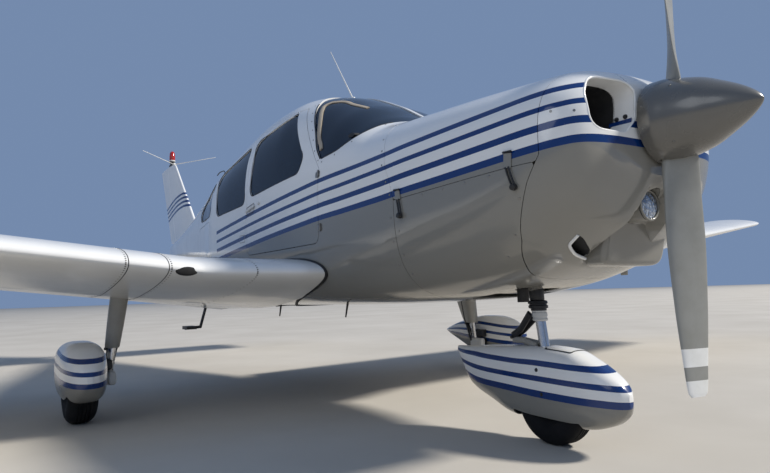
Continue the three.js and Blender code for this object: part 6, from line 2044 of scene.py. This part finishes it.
def leg_at(z, y=0.0, ahead=0.0):
    """The point of the leaning leg's axis at a height, moved sideways and ahead."""
    return np.array([FRONT - LEG_FOOT[0] - (z - LEG_FOOT[1]) * LEG_LEAN + ahead, y, z])


def upright(profile, line, count=40):
    """Level rings of (height, radius) centred on a line given as a function of height."""
    a = full_turn(count)
    circle = stacked(np.cos(a), np.sin(a), 0)
    return closed_loft(np.stack([line(z) + r * circle for z, r in profile]))


def link_arms(z, ahead, middle_z, middle_ahead, y_share, rise, half_width, half_y):
    """The two arms of a torque link, from an eye on the leg by way of a middle point to the knee."""
    arms = []
    for y in (-half_y, half_y):
        middle = (leg_at(middle_z, y * y_share, middle_ahead) + KNEE) / 2
        path = [leg_at(z, y, ahead), middle, KNEE + [0, y * 0.45, rise]]
        arms.append(strip(path, half_width, 0.007, (0, 1, 0)))
    return arms


def cover_sheet(length, width, lift):
    """The part of the fairing's top inside a rectangle ahead of the leg, lifted off the skin."""

    def inside(p):
        """Positive within the rectangle, on the top of the fairing only."""
        ahead, aside = np.abs(FRONT - p[..., 0] - COVER_STATION), np.abs(p[..., 1])
        within = np.minimum(length / 2 - ahead, width / 2 - aside)
        return np.where(p[..., 2] > NOSE_TOP, within, -FAR)

    points, faces = fairing_sheet(NOSE_FAIRING, 0.0, inside, 240)
    return points + [0, 0, lift], faces


knee_bolt = rod(KNEE + [0, -0.026, 0], KNEE + [0, 0.026, 0], 0.008)
damper = together(*[rod(leg_at(*start), leg_at(*end), radius) for start, end, radius in DAMPER])
housing = together(
    upright(HOUSING, leg_at), upright(DARK_COLLAR, leg_at), *link_arms(**UPPER_LINK), knee_bolt, damper)
piece("nose_leg_housing", housing, BLACK_PART, "gear_metal", "nose_steer", ["nose_strut"], 45)
piece("nose_leg_collar", upright(WHITE_COLLAR, leg_at), GEAR_WHITE, "gear_metal", "nose_steer", sharp=40)
cover = cover_sheet(0.128, 0.096, 0.0030)
piece("nose_fairing_cover", cover, WING_WHITE, "lower_paint", "nose_steer", sharp=45)
# A black sheet a little larger than the cover shows as a dark line round it: painted shade under the cover's
# step.
piece("nose_fairing_cover_shade", cover_sheet(0.136, 0.104, 0.0014), SEAL, "black_plastic", "nose_steer", sharp=45)
spat_screws = studs(SPAT_SCREWS, np.array([[0, 1.0, 0.15], [0, 1.0, 0]]), 0.009, 0.002, 10)
piece("nose_fairing_screws", on_both_sides(spat_screws), BLACK_PART, "gear_metal", "nose_steer")
nose_axle = rod(nose_hub + [0, -0.080, 0], nose_hub + [0, 0.080, 0], 0.0145)
nose_piston = together(upright(PISTON, leg_at), nose_axle)
piece("nose_piston", nose_piston, STEEL, "gear_metal", "nose_steer", sharp=40)
crown_x = leg_at(CROWN["z"])[0]
crown = flat_bar(
    crown_x - CROWN["half_length"], crown_x + CROWN["half_length"], -CROWN["half_width"], CROWN["half_width"],
    CROWN["bottom"], CROWN["top"], 0.005)
fork_legs = []
for y in (-FORK_Y, FORK_Y):
    path = [leg_at(z, y * share, ahead) for z, share, ahead in FORK_BENDS]
    path += [nose_hub + [0, y, 0.0], nose_hub + [0, y, -0.022]]
    fork_legs.append(strip(bent(path, 0.015), 0.026, 0.005, (0, 1, 0.001)))
fork = together(crown, *fork_legs, *link_arms(**LOWER_LINK))
piece("nose_fork_arms", fork, GEAR_PAINT, "gear_metal", "nose_steer", ["nose_fork"], 45)

# %% [markdown]
# ## Main legs
# Each leg is a strut in a tapered cuff with a sharp tail. Below it come the bright sliding tube, a
# forged foot, the axle, a pair of torque links and a brake line.

# %% Main legs
LEG_STATION = 2.922
# y of the strut's axis at its foot, how far it leans in on the way up, and the heights of that run
STRUT = {"y": 1.350, "lean": 0.050, "foot": 0.400, "height": 0.380}
# Columns: height, station of the tail, half thickness
CUFF = np.array([
    [0.384, 3.024, 0.037], [0.392, 3.029, 0.039], [0.423, 3.042, 0.041], [0.575, 3.088, 0.047],
    [0.765, 3.150, 0.051]])
SLIDER = [
    (0.262, 0.019), (0.264, 0.0215), (0.300, 0.0215), (0.302, 0.0245), (0.312, 0.0245), (0.314, 0.0205),
    (0.395, 0.0205)]
# z, ahead and y from the strut's axis along the brake line
BRAKE_LINE = [
    (0.700, -0.05, -0.053), (0.560, -0.05, -0.049), (0.420, -0.05, -0.042), (0.340, -0.045, -0.030),
    (0.290, -0.030, -0.026)]
FOOT_STATIONS, MOUNT_STATIONS, AXLE_END = (2.826, 2.954), (2.832, 2.928), 1.574
# Corners of the foot's section: y from the strut's axis, and z
FOOT_CORNERS = ((-0.020, 0.186), (0.026, 0.262))
BRAKE_DISC = [(0.020, -0.078), (0.072, -0.078), (0.074, -0.075), (0.072, -0.072), (0.020, -0.072)]


def strut_at(z, ahead=0.0):
    """The point of the left strut's axis at a height."""
    share = (z - STRUT["foot"]) / STRUT["height"]
    return np.array([FRONT - LEG_STATION + ahead, STRUT["y"] - STRUT["lean"] * share, z])


def cuff_ring(z, count=28):
    """A round nose, and behind the leg half the thickness falls as (1 - t^1.3) (1 - 0.15 t)."""
    tail, half = (smooth(CUFF, k, z) for k in (1, 2))
    x, y, _ = strut_at(z)
    a = np.linspace(-math.pi / 2, math.pi / 2, count)
    t = np.linspace(0, 1, count)[1:]
    back = stacked(x - t * (tail - (FRONT - x)), y + half * (1 - t**1.3) * (1 - 0.15 * t) + 0.0012, z)
    nose = stacked(x + half * np.cos(a), y + half * np.sin(a), z)
    other = back[::-1] * [1, -1, 1] + [0, 2 * y, 0]
    return np.vstack([other, nose, back])


cuff = run_of(cuff_ring, spans(CUFF[0, 0], CUFF[-1, 0], 0.02, CUFF[1, 0]))
inner_foot = float(strut_at(0.300)[1])
slider = upright(SLIDER, strut_at)
low_corner, high_corner = ((inner_foot + y, z) for y, z in FOOT_CORNERS)
foot = eased_block(*FOOT_STATIONS, low_corner, high_corner, 3.2, 0.014, 8, 40)
axle_x, axle_z = FRONT - WHEEL["station"], WHEEL["radius"]
axle = rod((axle_x, inner_foot + 0.010, axle_z), (axle_x, AXLE_END, axle_z), 0.0175)
mount = eased_block(*MOUNT_STATIONS, (inner_foot + 0.002, 0.270), (1.462, 0.328), 6.0, 0.008, 6, 32)
aft_knee = np.array([FRONT - 3.000, inner_foot - 0.006, 0.375])
# Eye of each link, y of its two arms, and how far they pass above the knee
main_links = [
    (strut_at(0.475) - [0.020, 0, 0], (-0.016, 0.014), 0.004),
    (np.array([FRONT - 2.946, inner_foot, 0.240]), (-0.018, 0.012), -0.004)]
links = [
    strip([eye + [0, y, 0], aft_knee + [0.004, y * 0.6, rise]], 0.011, 0.006, (0, 1, 0))
    for eye, arms, rise in main_links for y in arms]
links.append(rod(aft_knee + [0, -0.024, 0], aft_knee + [0, 0.024, 0], 0.008))
links.append(strip(bent([strut_at(z, ahead) + [0, y, 0] for z, ahead, y in BRAKE_LINE]), 0.0045))
disc = turned_y(BRAKE_DISC, (axle_x, WHEEL["y"], axle_z))
for side, sign in SIDES:
    for name, shape, material, body, nodes, sharp in (
        ("leg_cuff_", cuff, GEAR_PAINT, "airframe", ["main_strut_" + side], 40),
        ("leg_slider_", together(slider, axle), STEEL, "airframe", [], 40),
        ("leg_foot_", foot, GEAR_WHITE, "airframe", [], 40),
        ("fairing_mount_", mount, BLACK_PART, "airframe", [], 40),
        ("leg_links_", together(*links), BLACK_PART, "airframe", [], 45),
        ("brake_disc_", disc, DULL_METAL, "wheel_" + side, [], 40),
    ):
        piece(name + side, on_side_of(sign, shape), material, "gear_metal", body, nodes, sharp)

# %% [markdown]
# ## Aerials, beacon and probes
# A red beacon stands on the fin between two swept aerial rods. A straight and a bent whip stand on
# the roof, and three short rods hang under the cabin.

# %% Aerials
BEACON_X, BEACON_Z = FRONT - 6.690, 2.236
# Profiles of (height above the fin's top, radius) for the beacon's foot, its band and its dome
BEACON_FOOT = [(0.030, 0.022), (0.040, 0.030), (0.062, 0.033), (0.064, 0.030)]
BEACON_BAND = [(0.063, 0.031), (0.065, 0.035), (0.078, 0.035), (0.080, 0.031)]
BEACON_DOME = [
    (0.079, 0.031), (0.081, 0.033), (0.118, 0.0325), (0.120, 0.0335), (0.128, 0.0335), (0.130, 0.0320),
    (0.160, 0.0300), (0.178, 0.0230), (0.188, 0.0120), (0.191, 0.0020)]
WHIP_STATION, BENT_WHIP_STATION = 2.450, 4.620
WHIP_FOOT = [(-0.020, 0.017), (0.004, 0.017), (0.010, 0.013), (0.028, 0.010), (0.030, 0.006)]
# (station, z) places of the bent whip above its foot
BENT_WHIP = [(4.740, 1.690), (4.840, 1.825), (4.890, 1.862), (4.990, 1.866), (5.070, 1.850)]
# Ends (station, y, z) of the left one of the two swept rods, and of the foot below them
V_ROD = ((6.608, 0.008, 2.252), (6.347, 0.417, 2.324))
V_FOOT = ((6.625, 0, 2.250), (6.590, 0, 2.256))
# Station of the foot, y and z of the tip
BELLY_AERIALS = [(2.11, -0.28, 0.515), (2.995, -0.28, 0.510), (4.33, -0.10, 0.600)]


def raised(profile, x, base):
    """Level rings round an upright line, from heights above a base."""
    return upright([(base + height, radius) for height, radius in profile], lambda z: np.array([x, 0, z]))


low_corner, high_corner = (-0.018, BEACON_Z - 0.004), (0.018, BEACON_Z + 0.034)
beacon_block = eased_block(6.632, 6.764, low_corner, high_corner, 4.0, 0.012, 8, 32)
beacon_base = together(beacon_block, raised(BEACON_FOOT, BEACON_X, BEACON_Z))
red_glass = plain("beacon_glass", (0.50, 0.012, 0.006), 0.10, vary=0.35, scale=30, Coat_Weight=1.0)
piece("beacon_base", beacon_base, BLACK_PART, "black_plastic", replaces=["beacon"], sharp=45)
piece("beacon_band", raised(BEACON_BAND, BEACON_X, BEACON_Z), GEAR_WHITE, "aerial_plastic", sharp=45)
piece("beacon_dome", raised(BEACON_DOME, BEACON_X, BEACON_Z), red_glass, "red_lens", sharp=45)
v_rods = [rod(*[(FRONT - s, sign * y, z) for s, y, z in V_ROD], 0.0052, 0.003) for sign in (-1, 1)]
v_foot = rod(*[(FRONT - s, y, z) for s, y, z in V_FOOT], 0.014)
piece("v_aerial", together(*v_rods, v_foot), GEAR_WHITE, "aerial_plastic", replaces=["nav_antenna"], sharp=45)
whip_x, whip_z = FRONT - WHIP_STATION, float(smooth(SECTIONS, 4, WHIP_STATION))
whip = rod((whip_x, 0, whip_z + 0.010), (FRONT - 2.735, 0, 2.300), 0.0045, 0.0026)
roof_whip = together(raised(WHIP_FOOT, whip_x, whip_z), whip)
piece("roof_whip", roof_whip, GEAR_WHITE, "aerial_plastic", replaces=["com_antenna"], sharp=45)
bent_foot = (BENT_WHIP_STATION, float(smooth(SECTIONS, 4, BENT_WHIP_STATION)) - 0.004)
bent_whip = bent([(FRONT - station, 0, z) for station, z in [bent_foot, *BENT_WHIP]], 0.015)
piece("bent_whip", strip(bent_whip, 0.0050), BLACK_PART, "aerial_plastic", sharp=60)
belly = [
    rod((FRONT - station, y, z + 0.09), (FRONT - station - 0.030, y, z), 0.007, 0.004, 12)
    for station, y, z in BELLY_AERIALS]
piece("belly_aerials", together(*belly), BLACK_PART, "aerial_plastic", sharp=45)

# %% [markdown]
# ## Solids that stay
# A few solids need no new skin, because they are plain or deep inside. They only get a finish.

# %% Finishes of the CAD nodes that stay
KEPT_NODES = {
    "engine": DULL_METAL, "cabin_floor": TRIM, "instrument_panel": BLACK_PART, "exhaust_pipe": SOOT,
    "pitot_mast": GEAR_PAINT, "boarding_step": BLACK_PART,
}
for node, material in KEPT_NODES.items():
    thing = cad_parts[node]
    thing.data.materials.clear()
    thing.data.materials.append(material)
print("solids with a finish", len(KEPT_NODES))

# %% [markdown]
# ## Floor
# A wide pale floor catches the shadows. It belongs to the stage and not to the aircraft.

# %% Floor
FLOOR_HALF = 120
FLOOR_TONES = [(0.3, (0.47, 0.44, 0.39)), (0.7, (0.54, 0.51, 0.46))]
floor_mesh = bpy.data.meshes.new("floor")
floor_corners = [(x * FLOOR_HALF, y * FLOOR_HALF, 0) for x, y in ((-1, -1), (1, -1), (1, 1), (-1, 1))]
floor_mesh.from_pydata(floor_corners, [], [(0, 1, 2, 3)])
floor = bpy.data.objects.new("floor", floor_mesh)
bpy.context.collection.objects.link(floor)
floor_finish = Finish("studio_floor")
floor_finish.colour(floor_finish.ramp(floor_finish.noise(0.7, 4), FLOOR_TONES))
floor_finish.rough(6, 4, 0.85, 1.0)
floor_finish.set(Specular_IOR_Level=0.1)
floor.data.materials.append(floor_finish.material)
print("floor reaches", FLOOR_HALF, "m each way")
